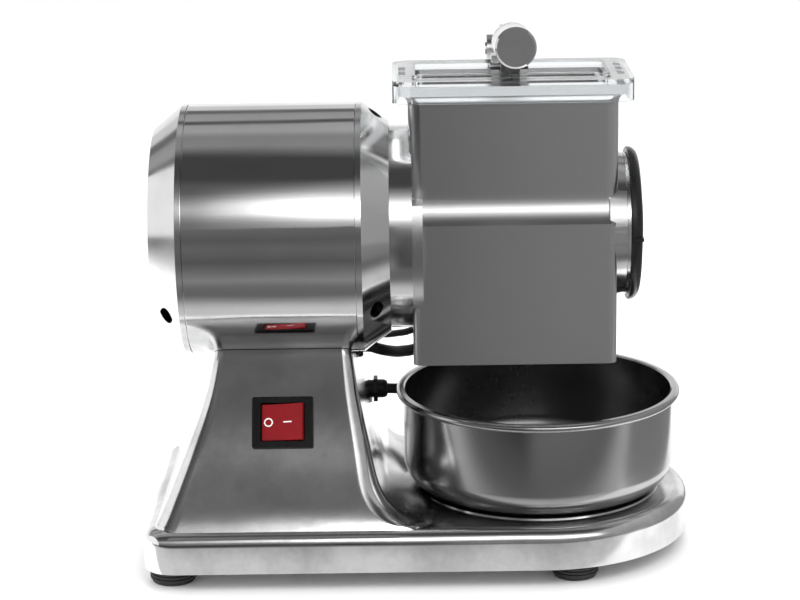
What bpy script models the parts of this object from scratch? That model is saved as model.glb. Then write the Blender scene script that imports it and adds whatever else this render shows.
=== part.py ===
"""Electric cheese grater: cast base, motor, grating housing, lever, bowl and mains lead.

Lengths are in metres, +Z is up, +X runs from the motor to the grating end, the user stands at -Y.
The origin lies on the counter under the middle of the base. The machine is stacked up from the
base, the bowl and the chute above it, and along from the base's left end: motor, neck, housing.
Heights of the motor, housing and lever are given from the motor axis.
"""
import math

import bmesh
import bpy
from mathutils import Matrix, Vector, geometry

# Fits shared by all pieces
GAP = 0.0003
RUNNING_GAP = 0.0008
OVERRUN = 0.004
BURY = 0.001

# Base casting
BASE_DEPTH = 0.197
SKIRT_BOTTOM = 0.0125
SKIRT_HEIGHT = 0.0263
BASE_TOP = SKIRT_BOTTOM + SKIRT_HEIGHT
BASE_EDGE_ROUND = 0.009
BASE_CORNER = 0.020
CAST_WALL = 0.0045

# Bowl on its seat
BOWL_RADIUS = 0.0876
BOWL_RIM_WIDTH = 0.0046
BOWL_HEIGHT = 0.0645
BOWL_WALL = 0.0010
BOWL_CORNER = 0.017
BOWL_BEAD = 0.0024
BOWL_RIM_RADIUS = BOWL_RADIUS + BOWL_RIM_WIDTH
SEAT_HEIGHT = 0.0007
SEAT_RADIUS = BOWL_RADIUS - BOWL_CORNER / 2
BOWL_BOTTOM = BASE_TOP + SEAT_HEIGHT + GAP
BOWL_TOP = BOWL_BOTTOM + BOWL_HEIGHT
BOWL_OFFSET = 0.01665

# Motor axis over the chute and the bowl
CHUTE_CLEARANCE = 0.0272
CHUTE_DROP = 0.080
CHUTE_BOTTOM = -CHUTE_DROP
AXIS_Z = BOWL_TOP + CHUTE_CLEARANCE + CHUTE_DROP

# Lengths along the machine, from the base's left end to the bowl's middle
MOTOR_INSET = 0.0306
TUBE_LENGTH = 0.10625
FRONT_CAP_LENGTH = 0.02085
NECK_LENGTH = 0.0138
HOPPER_OVERLAP = 0.0018
HOPPER_LENGTH = 0.1309
HOPPER_START = (MOTOR_INSET + TUBE_LENGTH + FRONT_CAP_LENGTH + GAP + NECK_LENGTH
                - HOPPER_OVERLAP)
BASE_LENGTH = HOPPER_START + HOPPER_LENGTH / 2 + BOWL_OFFSET + BASE_DEPTH / 2
BASE_LEFT_X = -BASE_LENGTH / 2
BOWL_X = BASE_LENGTH / 2 - BASE_DEPTH / 2

# Motor
TUBE_RADIUS = 0.080
TUBE_WALL = 0.0014
TUBE_LEFT_X = BASE_LEFT_X + MOTOR_INSET
TUBE_RIGHT_X = TUBE_LEFT_X + TUBE_LENGTH
CAP_BAND = 0.0035
CAP_WALL = 0.0048
CAP_SPIGOT = 0.005
FRONT_CAP_X = TUBE_RIGHT_X + FRONT_CAP_LENGTH
FRONT_CAP_DROP = 0.0126
FRONT_CAP_RADIUS = TUBE_RADIUS - FRONT_CAP_DROP
REAR_CAP_LENGTH = 0.0216
REAR_CAP_X = TUBE_LEFT_X - REAR_CAP_LENGTH
REAR_CAP_DROP = 0.0145
REAR_CAP_RADIUS = TUBE_RADIUS - REAR_CAP_DROP
REAR_DOME = 0.0055
REAR_DISC_RADIUS = 0.026
REAR_DISC_THICKNESS = 0.0016
SHAFT_RADIUS = 0.0085
SHAFT_INSET = 0.0018
SHAFT_LEFT_X = REAR_CAP_X + SHAFT_INSET
BEARING_RING = 0.009
BEARING_RADIUS = SHAFT_RADIUS + BEARING_RING
BEARING_WIDTH = 0.012
HUB_WALL = 0.0065
HUB_RADIUS = BEARING_RADIUS + HUB_WALL
STATOR_INSET_LEFT = 0.0267
STATOR_INSET_RIGHT = 0.02355
STATOR_LEFT_X = TUBE_LEFT_X + STATOR_INSET_LEFT
STATOR_RIGHT_X = TUBE_RIGHT_X - STATOR_INSET_RIGHT
STATOR_THICKNESS = 0.0436
ROTOR_RADIUS = TUBE_RADIUS - STATOR_THICKNESS
ROTOR_AIR_GAP = 0.0006
WINDING_LENGTH = 0.012
WINDING_INSET = 0.0056
WINDING_MARGIN = 0.012
WINDING_INNER = ROTOR_RADIUS + WINDING_INSET
WINDING_OUTER = TUBE_RADIUS - WINDING_MARGIN
FAN_OFFSET = 0.0028
FAN_X = TUBE_LEFT_X - FAN_OFFSET
FAN_WIDTH = 0.010
FAN_MARGIN = 0.022
FAN_RADIUS = TUBE_RADIUS - FAN_MARGIN
FAN_HUB_WALL = 0.0075
FAN_HUB_RADIUS = SHAFT_RADIUS + FAN_HUB_WALL
FAN_BLADES = 9
FAN_BLADE_DEGREES = 2.5
VENT_LENGTH = 0.014
VENT_WIDTH = 0.008
VENT_FRONT_DEGREES = (90.0, -32.0, 212.0)
VENT_REAR_DEGREES = (-35.0, 215.0)

# Column casting, from under the motor tube down to the base
COLUMN_COVERED = 0.020
COLUMN_TOP_BELOW_AXIS = TUBE_RADIUS - COLUMN_COVERED
COLUMN_SUNK = 0.0043
COLUMN_FOOT_BELOW_AXIS = AXIS_Z - BASE_TOP + COLUMN_SUNK
COLUMN_LEFT_INSET = 0.0167
COLUMN_RIGHT_INSET = 0.00675
COLUMN_LEFT_X = TUBE_LEFT_X + COLUMN_LEFT_INSET
COLUMN_RIGHT_X = TUBE_RIGHT_X - COLUMN_RIGHT_INSET
COLUMN_FOOT_INSET_X = 0.0063
COLUMN_FOOT_INSET_Y = 0.0036
COLUMN_LEFT_FLARE = COLUMN_LEFT_X - BASE_LEFT_X - COLUMN_FOOT_INSET_X
COLUMN_RIGHT_FLARE = 0.0552
COLUMN_TOP_HALF_DEPTH = 0.0327
COLUMN_SLANT = ((BASE_DEPTH / 2 - COLUMN_FOOT_INSET_Y - COLUMN_TOP_HALF_DEPTH)
                / (COLUMN_FOOT_BELOW_AXIS - COLUMN_TOP_BELOW_AXIS))
COLUMN_TOP_CORNER = 0.006
COLUMN_FOOT_CORNER = 0.015
COLUMN_ROOF = 0.010
COLUMN_VOID_BELOW_AXIS = TUBE_RADIUS + COLUMN_ROOF
# Shares of the column's height, of its left flare and of its right flare, from the top down
COLUMN_SIDE_SHARES = (
    (0.0, 0.0, 0.0), (0.158, 0.080, 0.054), (0.311, 0.183, 0.109), (0.442, 0.312, 0.170),
    (0.603, 0.502, 0.246), (0.752, 0.688, 0.322), (0.842, 0.805, 0.417), (0.902, 0.885, 0.547),
    (0.940, 0.939, 0.728), (0.959, 0.966, 0.928), (1.0, 1.0, 1.0))
WIRE_HOLE_RADIUS = 0.009
WIRE_HOLE_OFFSET = 0.0166

# Cover plate, feet and their screws
COVER_RECESS = 0.0025
COVER_THICKNESS = 0.002
SCREW_RADIUS = 0.0024
SCREW_HEAD_OVERHANG = 0.0028
SCREW_HEAD_RADIUS = SCREW_RADIUS + SCREW_HEAD_OVERHANG
SCREW_HEAD_HEIGHT = 0.0035
SCREW_LENGTH = 0.022
FOOT_INSET_LEFT = 0.0173
FOOT_OFFSET_RIGHT = 0.0199
FOOT_INSET_Y = 0.0265
FOOT_LEFT_X = BASE_LEFT_X + FOOT_INSET_LEFT
FOOT_RIGHT_X = BOWL_X + FOOT_OFFSET_RIGHT
FOOT_Y = BASE_DEPTH / 2 - FOOT_INSET_Y
FOOT_RADIUS = 0.0148
FOOT_SOLE_DRAFT = 0.0016
FOOT_TOP_DRAFT = 0.0043
FOOT_RECESS_RADIUS = SCREW_HEAD_RADIUS + RUNNING_GAP
FOOT_RECESS_DEPTH = 0.006
BOSS_WALL = 0.0056
BOSS_RADIUS = SCREW_RADIUS + BOSS_WALL

# Things inside the base
CAPACITOR_RADIUS = 0.016
CAPACITOR_LENGTH = 0.056
CAPACITOR_Y = 0.022
TERMINAL_LENGTH = 0.042
TERMINAL_DEPTH = 0.016
TERMINAL_HEIGHT = 0.013
TERMINAL_Y = -0.030
WIRING_OFFSET = 0.0134

# Rocker switch
SWITCH_X = (COLUMN_LEFT_X + COLUMN_RIGHT_X) / 2
SWITCH_HEIGHT_SHARE = 0.447
SWITCH_BELOW_AXIS = (COLUMN_TOP_BELOW_AXIS
                     + (COLUMN_FOOT_BELOW_AXIS - COLUMN_TOP_BELOW_AXIS) * SWITCH_HEIGHT_SHARE)
WINDOW_WIDTH = 0.0278
WINDOW_HEIGHT = 0.0246
BEZEL_SIDE = 0.0055
BEZEL_END = 0.0040
BEZEL_WIDTH = WINDOW_WIDTH + 2 * BEZEL_SIDE
BEZEL_HEIGHT = WINDOW_HEIGHT + 2 * BEZEL_END
BEZEL_THICKNESS = 0.0030
BEZEL_CORNER = 0.0015
SWITCH_WALL = 0.0015
SWITCH_DEPTH = 0.020
WELL_DEPTH = 0.0085
ROCKER_FIT_X = 0.00055
ROCKER_FIT_Z = 0.00045
ROCKER_WIDTH = WINDOW_WIDTH - 2 * ROCKER_FIT_X
ROCKER_HEIGHT = WINDOW_HEIGHT - 2 * ROCKER_FIT_Z
ROCKER_PROUD = 0.0024
ROCKER_SKIRT = 0.0030
ROCKER_DEGREES = 11.0

# Grating drum on the shaft
DRUM_RADIUS = 0.0395
DRUM_WALL = 0.0016
DRUM_HUB_WIDTH = 0.006
JOURNAL_STEP = 0.0025
JOURNAL_RADIUS = SHAFT_RADIUS - JOURNAL_STEP
NUT_WALL = 0.007
NUT_RADIUS = JOURNAL_RADIUS + NUT_WALL
NUT_WIDTH = 0.005

# Grating housing: hopper, chute, neck ring and end ring
HOPPER_LEFT_X = BASE_LEFT_X + HOPPER_START
HOPPER_RIGHT_X = HOPPER_LEFT_X + HOPPER_LENGTH
CHUTE_INSET_LEFT = 0.0015
CHUTE_INSET_RIGHT = 0.0011
CHUTE_LEFT_X = HOPPER_LEFT_X + CHUTE_INSET_LEFT
CHUTE_RIGHT_X = HOPPER_RIGHT_X - CHUTE_INSET_RIGHT
HOUSING_WALL = 0.004
CHUTE_ROOM = 0.004
CHUTE_HALF_DEPTH = DRUM_RADIUS + CHUTE_ROOM + HOUSING_WALL
SHOULDER_DEPTH = 0.0075
HOPPER_HALF_DEPTH = CHUTE_HALF_DEPTH - SHOULDER_DEPTH
HOPPER_CORNER = 0.008
CHUTE_CORNER = 0.0054
FLANGE_OVERHANG = 0.0062
FLANGE_OVERHANG_Y = 0.0014
FLANGE_HALF_DEPTH = HOPPER_HALF_DEPTH + FLANGE_OVERHANG_Y
FLANGE_TOP = 0.0964
FLANGE_HEIGHT = 0.0059
FLARE_HEIGHT = 0.0065
FLANGE_FOOT = FLANGE_TOP - FLANGE_HEIGHT
FLARE_FOOT = FLANGE_FOOT - FLARE_HEIGHT
SHOULDER_TOP = 0.030
SHOULDER_HEIGHT = 0.020
SHOULDER_FOOT = SHOULDER_TOP - SHOULDER_HEIGHT
NECK_INSET = 0.0024
NECK_RADIUS = FRONT_CAP_RADIUS - NECK_INSET
NECK_WALL = 0.005
NECK_LEFT_X = FRONT_CAP_X + GAP
NECK_RIGHT_X = NECK_LEFT_X + NECK_LENGTH
NECK_SPIGOT_RADIUS = NECK_RADIUS - NECK_WALL
NECK_SPIGOT_LENGTH = 0.005
CHEEK_WIDTH = 0.0065
CHEEK_RIGHT_X = NECK_RIGHT_X + CHEEK_WIDTH
CHEEK_TOP = 0.026
CHEEK_BOTTOM = -0.042
DRUM_BORE_GAP = 0.003
DRUM_BORE_RADIUS = DRUM_RADIUS + DRUM_BORE_GAP
END_RING_WALL = 0.0045
END_RING_DRAFT = 0.0015
END_RING_RADIUS = DRUM_BORE_RADIUS + END_RING_WALL
END_RING_TIP_RADIUS = END_RING_RADIUS - END_RING_DRAFT
END_RING_SUNK = 0.0056
END_RING_PROUD = 0.0054
END_RING_LEFT_X = HOPPER_RIGHT_X - END_RING_SUNK
END_RING_RIGHT_X = HOPPER_RIGHT_X + END_RING_PROUD
NECK_SCREW_RADIUS = 0.003
NECK_SCREW_DEGREES = (68.0, 248.0)
NECK_SCREW_X = NECK_LEFT_X + NECK_SPIGOT_LENGTH * 14 / 25
SEAL_WALL = 0.0055
SEAL_RADIUS = SHAFT_RADIUS + SEAL_WALL
DRUM_END_GAP_LEFT = 0.0043
DRUM_END_GAP_RIGHT = 0.008
DRUM_LEFT_X = CHUTE_LEFT_X + HOUSING_WALL + DRUM_END_GAP_LEFT
DRUM_RIGHT_X = END_RING_LEFT_X - DRUM_END_GAP_RIGHT
JOURNAL_INSET = 0.0045
JOURNAL_RIGHT_X = END_RING_RIGHT_X - JOURNAL_INSET

# End cover, bush and knob
COVER_SPIGOT_INSET = 0.0005
COVER_SPIGOT_LEFT_X = END_RING_LEFT_X + COVER_SPIGOT_INSET
BUSH_WALL = 0.0035
BUSH_RADIUS = JOURNAL_RADIUS + BUSH_WALL
BUSH_PROUD = 0.0010
BUSH_LEFT_X = END_RING_LEFT_X - BUSH_PROUD
STUD_RADIUS = 0.006
STUD_LENGTH = 0.006
COVER_RIM_WIDTH = 0.0025
KNOB_OVERHANG = 0.0021
KNOB_RADIUS = END_RING_RADIUS + KNOB_OVERHANG
KNOB_RIM_X = END_RING_RIGHT_X + COVER_RIM_WIDTH
KNOB_THICKNESS = 0.0093
KNOB_FACE_X = KNOB_RIM_X + KNOB_THICKNESS
KNOB_EDGE_ROUND = 0.006
KNOB_NUB = 0.0022

# Guard on the hopper
GUARD_WALL = 0.0025
GUARD_FIT_X = 0.0008
GUARD_FIT_Y = 0.0004
GUARD_ROOF = 0.0034
GUARD_LEFT_X = HOPPER_LEFT_X - FLANGE_OVERHANG - GUARD_FIT_X - GUARD_WALL
GUARD_RIGHT_X = HOPPER_RIGHT_X + FLANGE_OVERHANG + GUARD_FIT_X + GUARD_WALL
GUARD_HALF_DEPTH = FLANGE_HALF_DEPTH + GUARD_FIT_Y + GUARD_WALL
GUARD_TOP = FLANGE_TOP + GAP + GUARD_ROOF
GUARD_HEIGHT = 0.0140
GUARD_CORNER = 0.010
MOUTH_INSET_LEFT = 0.0050
MOUTH_INSET_RIGHT = 0.0069
MOUTH_INSET_Y = 0.013
MOUTH_LEFT_X = HOPPER_LEFT_X + MOUTH_INSET_LEFT
MOUTH_RIGHT_X = HOPPER_RIGHT_X - MOUTH_INSET_RIGHT
MOUTH_HALF_DEPTH = HOPPER_HALF_DEPTH - MOUTH_INSET_Y
MOUTH_LIP = 0.0014
MOUTH_LIP_WIDTH = 0.0022
MOUTH_CORNER = 0.003

# Lever hinge ears on the back of the hopper
HINGE_BEHIND = 0.020
HINGE_ABOVE_FLANGE = 0.0086
HINGE_Y = HOPPER_HALF_DEPTH + HINGE_BEHIND
HINGE_Z = FLANGE_TOP + HINGE_ABOVE_FLANGE
LEVER_X = (MOUTH_LEFT_X + MOUTH_RIGHT_X) / 2
PIN_RADIUS = 0.004
EAR_WALL = 0.005
EAR_RADIUS = PIN_RADIUS + EAR_WALL
EAR_THICKNESS = 0.0055
EAR_DROP = 0.057
EAR_FOOT = HINGE_Z - EAR_DROP
ARM_THICKNESS = 0.012

# Lever, presser and grip
PRESSER_SIDE_GAP = 0.0014
PRESSER_SUNK = 0.0019
PRESSER_TOP = FLANGE_TOP - PRESSER_SUNK
PRESSER_WALL = 0.003
PRESSER_FRONT_GAP = 0.0009
PRESSER_BACK_GAP = 0.0035
DRUM_CLEARANCE = 0.0022
LUG_THICKNESS = 0.005
PRESSER_PIN_RADIUS = 0.0025
PRESSER_PIN_DROP = 0.0025
PRESSER_PIN_Z = HINGE_Z - PRESSER_PIN_DROP
LUG_RISE = 0.007
LUG_TOP = PRESSER_PIN_Z + LUG_RISE
LUG_HALF_DEPTH = 0.010
STUD_ROD_RADIUS = 0.004
GRIP_WALL = 0.00835
GRIP_RADIUS = STUD_ROD_RADIUS + GRIP_WALL
GRIP_CHAMFER = 0.00115
GRIP_FACE_RADIUS = GRIP_RADIUS - GRIP_CHAMFER
GRIP_LENGTH = 0.060
GRIP_REACH = 0.057
GRIP_RISE = 0.0232
GRIP_FRONT_Y = -HOPPER_HALF_DEPTH - GRIP_REACH
GRIP_FRONT_Z = HINGE_Z + GRIP_RISE
GRIP_DEGREES = 5.0
GRIP_BORE_DEPTH = GRIP_LENGTH / 2

# Safety switch and its leads, and the mains gland
SAFETY_OFFSET = 0.0262
SAFETY_X = LEVER_X - SAFETY_OFFSET
SAFETY_WIDTH = 0.024
SAFETY_DEPTH = 0.015
SAFETY_DROP = 0.0184
SAFETY_HEIGHT = 0.036
SAFETY_TOP = FLANGE_TOP - SAFETY_DROP
SAFETY_BOTTOM = SAFETY_TOP - SAFETY_HEIGHT
LEAD_THICK_RADIUS = 0.0038
LEAD_THIN_RADIUS = 0.0023
GROMMET_WALL = 0.0016
GROMMET_LENGTH = 0.0060
GROMMET_Y = 0.018
GROMMET_DROP = 0.0050
GROMMET_BELOW_AXIS = TUBE_RADIUS + GROMMET_DROP
THIN_GROMMET_Y = 0.031
THIN_GROMMET_BELOW_AXIS = TUBE_RADIUS
CORD_RADIUS = 0.0035
GLAND_Y = 0.046
GLAND_DROP = 0.0425
GLAND_BELOW_AXIS = TUBE_RADIUS + GLAND_DROP
GLAND_WALL = 0.0027
GLAND_THREAD_RADIUS = CORD_RADIUS + GLAND_WALL
GLAND_HEX_OVERHANG = 0.0028
GLAND_HEX_RADIUS = GLAND_THREAD_RADIUS + GLAND_HEX_OVERHANG
GLAND_HEX_LENGTH = 0.0060
GLAND_DOME_OVERHANG = 0.0016
GLAND_DOME_RADIUS = GLAND_THREAD_RADIUS + GLAND_DOME_OVERHANG
GLAND_LENGTH = 0.0130

# Routes of the two leads round the chute: share of the way along X, Y as a share of the
# chute's half depth, and share of the rise
THICK_LEAD_SHARES = (
    (0.215, 0.470, -0.030), (0.391, 0.900, -0.085), (0.600, 1.220, -0.085), (0.842, 1.295, 0.071),
    (0.962, 1.263, 0.355), (1.0, 1.200, 0.655), (1.0, 1.053, 0.868))
THIN_LEAD_SHARES = (
    (0.175, 0.750, -0.015), (0.290, 1.060, -0.045), (0.474, 1.370, -0.049), (0.737, 1.453, 0.082),
    (0.934, 1.432, 0.345), (1.0, 1.305, 0.657), (1.0, 1.074, 0.871))
LEAD_SPACING = 0.0047

# Free mains lead, chosen by hand: X, Y and height above the counter
LEAD_ROUTE = (
    (-0.0300, 0.0460, 0.0890), (-0.0200, 0.0460, 0.0890), (-0.0120, 0.0462, 0.0891),
    (-0.0030, 0.0520, 0.0930),
    (0.0070, 0.0680, 0.0970), (0.0120, 0.0860, 0.0920), (0.0120, 0.1030, 0.0700),
    (0.0070, 0.1160, 0.0400), (0.0000, 0.1290, 0.0140), (-0.0020, 0.1430, 0.0063),
    (0.0030, 0.1600, 0.0055), (0.0110, 0.1760, 0.0055), (0.0140, 0.1880, 0.0055),
    (0.0140, 0.1977, 0.0055))
COIL_X = 0.064
COIL_Y = 0.205
COIL_OUTER = 0.050
COIL_PITCH = 0.0082
COIL_TURNS = 2.75
LAYER_STEP = 0.0078
COIL_HEIGHT = 0.0055
COIL_POINTS = 24
TAIL_ROUTE = (
    (0.1140, 0.1977, 0.0133), (0.1140, 0.1880, 0.0133), (0.1155, 0.1720, 0.0110),
    (0.1160, 0.1550, 0.0110), (0.1120, 0.1390, 0.0140), (0.1040, 0.1300, 0.0160),
    (0.0970, 0.1275, 0.0165), (0.0877, 0.1275, 0.0165))
TIE_THICKNESS = 0.0012
TIE_WIDTH = 0.008
TIE_GAP = 0.0005
PLUG_RADIUS = 0.0160
PLUG_LENGTH = 0.040
PLUG_SLEEVE_RADIUS = 0.0058
PLUG_SLEEVE_LENGTH = 0.014
PLUG_PIN_RADIUS = 0.0024
PLUG_PIN_LENGTH = 0.019
PLUG_PIN_SPACING = 0.019
ROUTE_STEP = 0.0085

# Facets
ROUND_LARGE = 36
ROUND_MEDIUM = 20
ROUND_SMALL = 12
CORNER_STEPS = 3
SMOOTH_ANGLE = math.radians(32.0)
WELD = 0.000005


def clear_scene():
    for item in list(bpy.data.objects):
        bpy.data.objects.remove(item, do_unlink=True)


def material(name, colour, roughness, metallic=0.0, alpha=1.0):
    made = bpy.data.materials.new(name)
    made.use_nodes = True
    shader = made.node_tree.nodes["Principled BSDF"]
    shader.inputs["Base Color"].default_value = (*colour, 1.0)
    shader.inputs["Roughness"].default_value = roughness
    shader.inputs["Metallic"].default_value = metallic
    shader.inputs["Alpha"].default_value = alpha
    return made


def polished(name):
    return material(name, (0.62, 0.63, 0.65), 0.18, 1.0)


def steel(name):
    return material(name, (0.50, 0.50, 0.51), 0.30, 1.0)


def black(name):
    return material(name, (0.02, 0.02, 0.022), 0.45)


def finish(name, bm, surface):
    """Turn a bmesh into the named object, with outward faces and smooth round sides."""
    bmesh.ops.remove_doubles(bm, verts=bm.verts, dist=WELD)
    bmesh.ops.recalc_face_normals(bm, faces=bm.faces)
    mesh = bpy.data.meshes.new(name)
    bm.to_mesh(mesh)
    bm.free()
    mesh.shade_smooth()
    mesh.set_sharp_from_angle(angle=SMOOTH_ANGLE)
    made = bpy.data.objects.new(name, mesh)
    bpy.context.scene.collection.objects.link(made)
    if surface is not None:
        mesh.materials.append(surface)
    return made


def add_loft(bm, rings):
    """Bridge closed rings of equal point count and cap both ends."""
    rows = [[bm.verts.new(point) for point in ring] for ring in rings]
    count = len(rows[0])
    for low, high in zip(rows, rows[1:]):
        for i in range(count):
            bm.faces.new((low[i], low[(i + 1) % count], high[(i + 1) % count], high[i]))
    bm.faces.new(list(reversed(rows[0])))
    bm.faces.new(rows[-1])


def loft(name, rings, surface=None):
    bm = bmesh.new()
    add_loft(bm, rings)
    return finish(name, bm, surface)


def place(axis, along, u, v):
    """Point at a distance along an axis, with u and v in the plane across it."""
    if axis == "X":
        return Vector((along, u, v))
    if axis == "Y":
        return Vector((u, along, v))
    return Vector((u, v, along))


def prism(name, outline, low, high, axis, surface=None, shift=(0.0, 0.0, 0.0)):
    """Straight prism of an outline given in the plane across the axis."""
    rings = [[place(axis, along, u, v) + Vector(shift) for u, v in outline] for along in (low, high)]
    return loft(name, rings, surface)


def box(name, low, high, surface=None):
    outline = ((low[0], low[1]), (high[0], low[1]), (high[0], high[1]), (low[0], high[1]))
    return prism(name, outline, low[2], high[2], "Z", surface)


def arc(centre, radius, start, stop, steps):
    """Points on an arc, angles in degrees."""
    points = []
    for i in range(steps + 1):
        angle = math.radians(start + (stop - start) * i / steps)
        points.append((centre[0] + radius * math.cos(angle), centre[1] + radius * math.sin(angle)))
    return points


def rounded_rectangle(left, right, low, high, radius, steps=CORNER_STEPS):
    """Outline in a plane, anticlockwise from the lower right corner."""
    points = arc((right - radius, low + radius), radius, -90, 0, steps)
    points += arc((right - radius, high - radius), radius, 0, 90, steps)
    points += arc((left + radius, high - radius), radius, 90, 180, steps)
    points += arc((left + radius, low + radius), radius, 180, 270, steps)
    return points


def turned(name, profile, axis, centre, count, surface=None):
    """Turn a closed profile of (along, radius) points about an axis through a centre."""
    bm = bmesh.new()
    closed = profile[0][1] > 0 or profile[-1][1] > 0
    rows = []
    for along, radius in profile:
        if radius == 0:
            rows.append([bm.verts.new(place(axis, along, 0, 0) + Vector(centre))])
            continue
        row = []
        for i in range(count):
            angle = math.tau * i / count
            spot = place(axis, along, radius * math.cos(angle), radius * math.sin(angle))
            row.append(bm.verts.new(spot + Vector(centre)))
        rows.append(row)
    pairs = list(zip(rows, rows[1:]))
    if closed:
        pairs.append((rows[-1], rows[0]))
    for first, second in pairs:
        if len(first) == 1 and len(second) == 1:
            continue
        for i in range(count):
            j = (i + 1) % count
            corners = []
            for row, k in ((first, i), (first, j), (second, j), (second, i)):
                corner = row[k] if len(row) > 1 else row[0]
                if corner not in corners:
                    corners.append(corner)
            bm.faces.new(corners)
    return finish(name, bm, surface)


def ring(name, inner, outer, low, high, axis, centre, count, surface=None):
    profile = ((low, outer), (high, outer), (high, inner), (low, inner))
    return turned(name, profile, axis, centre, count, surface)


def rod(name, radius, low, high, axis, centre, count, surface=None):
    profile = ((low, 0), (low, radius), (high, radius), (high, 0))
    return turned(name, profile, axis, centre, count, surface)


def combine(target, tool, operation):
    """Boolean the tool into the target, keep the result and drop the tool."""
    modifier = target.modifiers.new(operation, "BOOLEAN")
    modifier.operation = operation
    modifier.solver = "EXACT"
    modifier.object = tool
    tool.hide_render = True
    tool.display_type = "WIRE"
    bpy.context.view_layer.update()
    graph = bpy.context.evaluated_depsgraph_get()
    mesh = bpy.data.meshes.new_from_object(target.evaluated_get(graph))
    target.modifiers.clear()
    bm = bmesh.new()
    bm.from_mesh(mesh)
    bmesh.ops.remove_doubles(bm, verts=bm.verts, dist=WELD)
    bmesh.ops.dissolve_degenerate(bm, edges=bm.edges, dist=WELD)
    bm.to_mesh(mesh)
    bm.free()
    target.data = mesh
    bpy.data.objects.remove(tool, do_unlink=True)
    mesh.shade_smooth()
    mesh.set_sharp_from_angle(angle=SMOOTH_ANGLE)


def cut(target, tool):
    combine(target, tool, "DIFFERENCE")


def join(target, tool):
    combine(target, tool, "UNION")


def tilt(item, degrees, axis, centre):
    """Turn an object's mesh about an axis through a point."""
    move = Matrix.Translation(Vector(centre))
    turn = Matrix.Rotation(math.radians(degrees), 4, axis)
    item.data.transform(move @ turn @ move.inverted())


def set_origin(item, point):
    """Put an object's origin on its joint axis and leave its mesh where it is."""
    item.data.transform(Matrix.Translation(-Vector(point)))
    item.location = point


def base_outline(inset, height):
    """Plan of the base: a half round right end and two rounded left corners."""
    end = BASE_DEPTH / 2 - inset
    left = BASE_LEFT_X + inset
    corner = BASE_CORNER - inset
    outline = arc((BOWL_X, 0), end, -90, 90, 4 * CORNER_STEPS + 4)
    outline += arc((left + corner, end - corner), corner, 90, 180, CORNER_STEPS)
    outline += arc((left + corner, corner - end), corner, 180, 270, CORNER_STEPS)
    return [Vector((x, y, height)) for x, y in outline]


def column_half_depth(below):
    """Half depth of the column's sloping front and back, at a distance below the axis."""
    return COLUMN_TOP_HALF_DEPTH + COLUMN_SLANT * (below - COLUMN_TOP_BELOW_AXIS)


def column_ring(below, left, right, inset):
    share = (below - COLUMN_TOP_BELOW_AXIS) / (COLUMN_FOOT_BELOW_AXIS - COLUMN_TOP_BELOW_AXIS)
    corner = COLUMN_TOP_CORNER + (COLUMN_FOOT_CORNER - COLUMN_TOP_CORNER) * share
    half = column_half_depth(below) - inset
    outline = rounded_rectangle(left + inset, right - inset, -half, half, corner)
    return [Vector((x, y, AXIS_Z - below)) for x, y in outline]


def column_levels():
    """Depth below the axis with the column's left and right side there, from the top down."""
    height = COLUMN_FOOT_BELOW_AXIS - COLUMN_TOP_BELOW_AXIS
    return [(COLUMN_TOP_BELOW_AXIS + height * down, COLUMN_LEFT_X - COLUMN_LEFT_FLARE * left,
             COLUMN_RIGHT_X + COLUMN_RIGHT_FLARE * right)
            for down, left, right in COLUMN_SIDE_SHARES]


def column_side(below):
    """Left and right side of the column at a distance below the axis."""
    levels = column_levels()
    for first, second in zip(levels, levels[1:]):
        if first[0] <= below <= second[0]:
            share = (below - first[0]) / (second[0] - first[0])
            return [a + (b - a) * share for a, b in zip(first[1:], second[1:])]
    return levels[-1][1:]


def foot_places():
    names = ("front_left", "back_left", "front_right", "back_right")
    spots = ((FOOT_LEFT_X, -FOOT_Y), (FOOT_LEFT_X, FOOT_Y), (FOOT_RIGHT_X, -FOOT_Y),
             (FOOT_RIGHT_X, FOOT_Y))
    return list(zip(names, spots))


def cover_bottom():
    return SKIRT_BOTTOM + COVER_RECESS


def cover_top():
    return cover_bottom() + COVER_THICKNESS


def slanted(spot):
    """Place a point given across, up and out of the column's sloping front at the switch."""
    slope = math.atan(COLUMN_SLANT)
    up = Vector((0, math.sin(slope), math.cos(slope)))
    out = Vector((0, -math.cos(slope), math.sin(slope)))
    centre = Vector((SWITCH_X, -column_half_depth(SWITCH_BELOW_AXIS), AXIS_Z - SWITCH_BELOW_AXIS))
    return centre + Vector((1, 0, 0)) * spot[0] + up * spot[1] + out * spot[2]


def slanted_prism(name, outline, low, high, surface=None):
    rings = [[slanted((u, v, out)) for u, v in outline] for out in (low, high)]
    return loft(name, rings, surface)


def switch_outline(width, height, corner):
    return rounded_rectangle(-width / 2, width / 2, -height / 2, height / 2, corner, 2)


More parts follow.
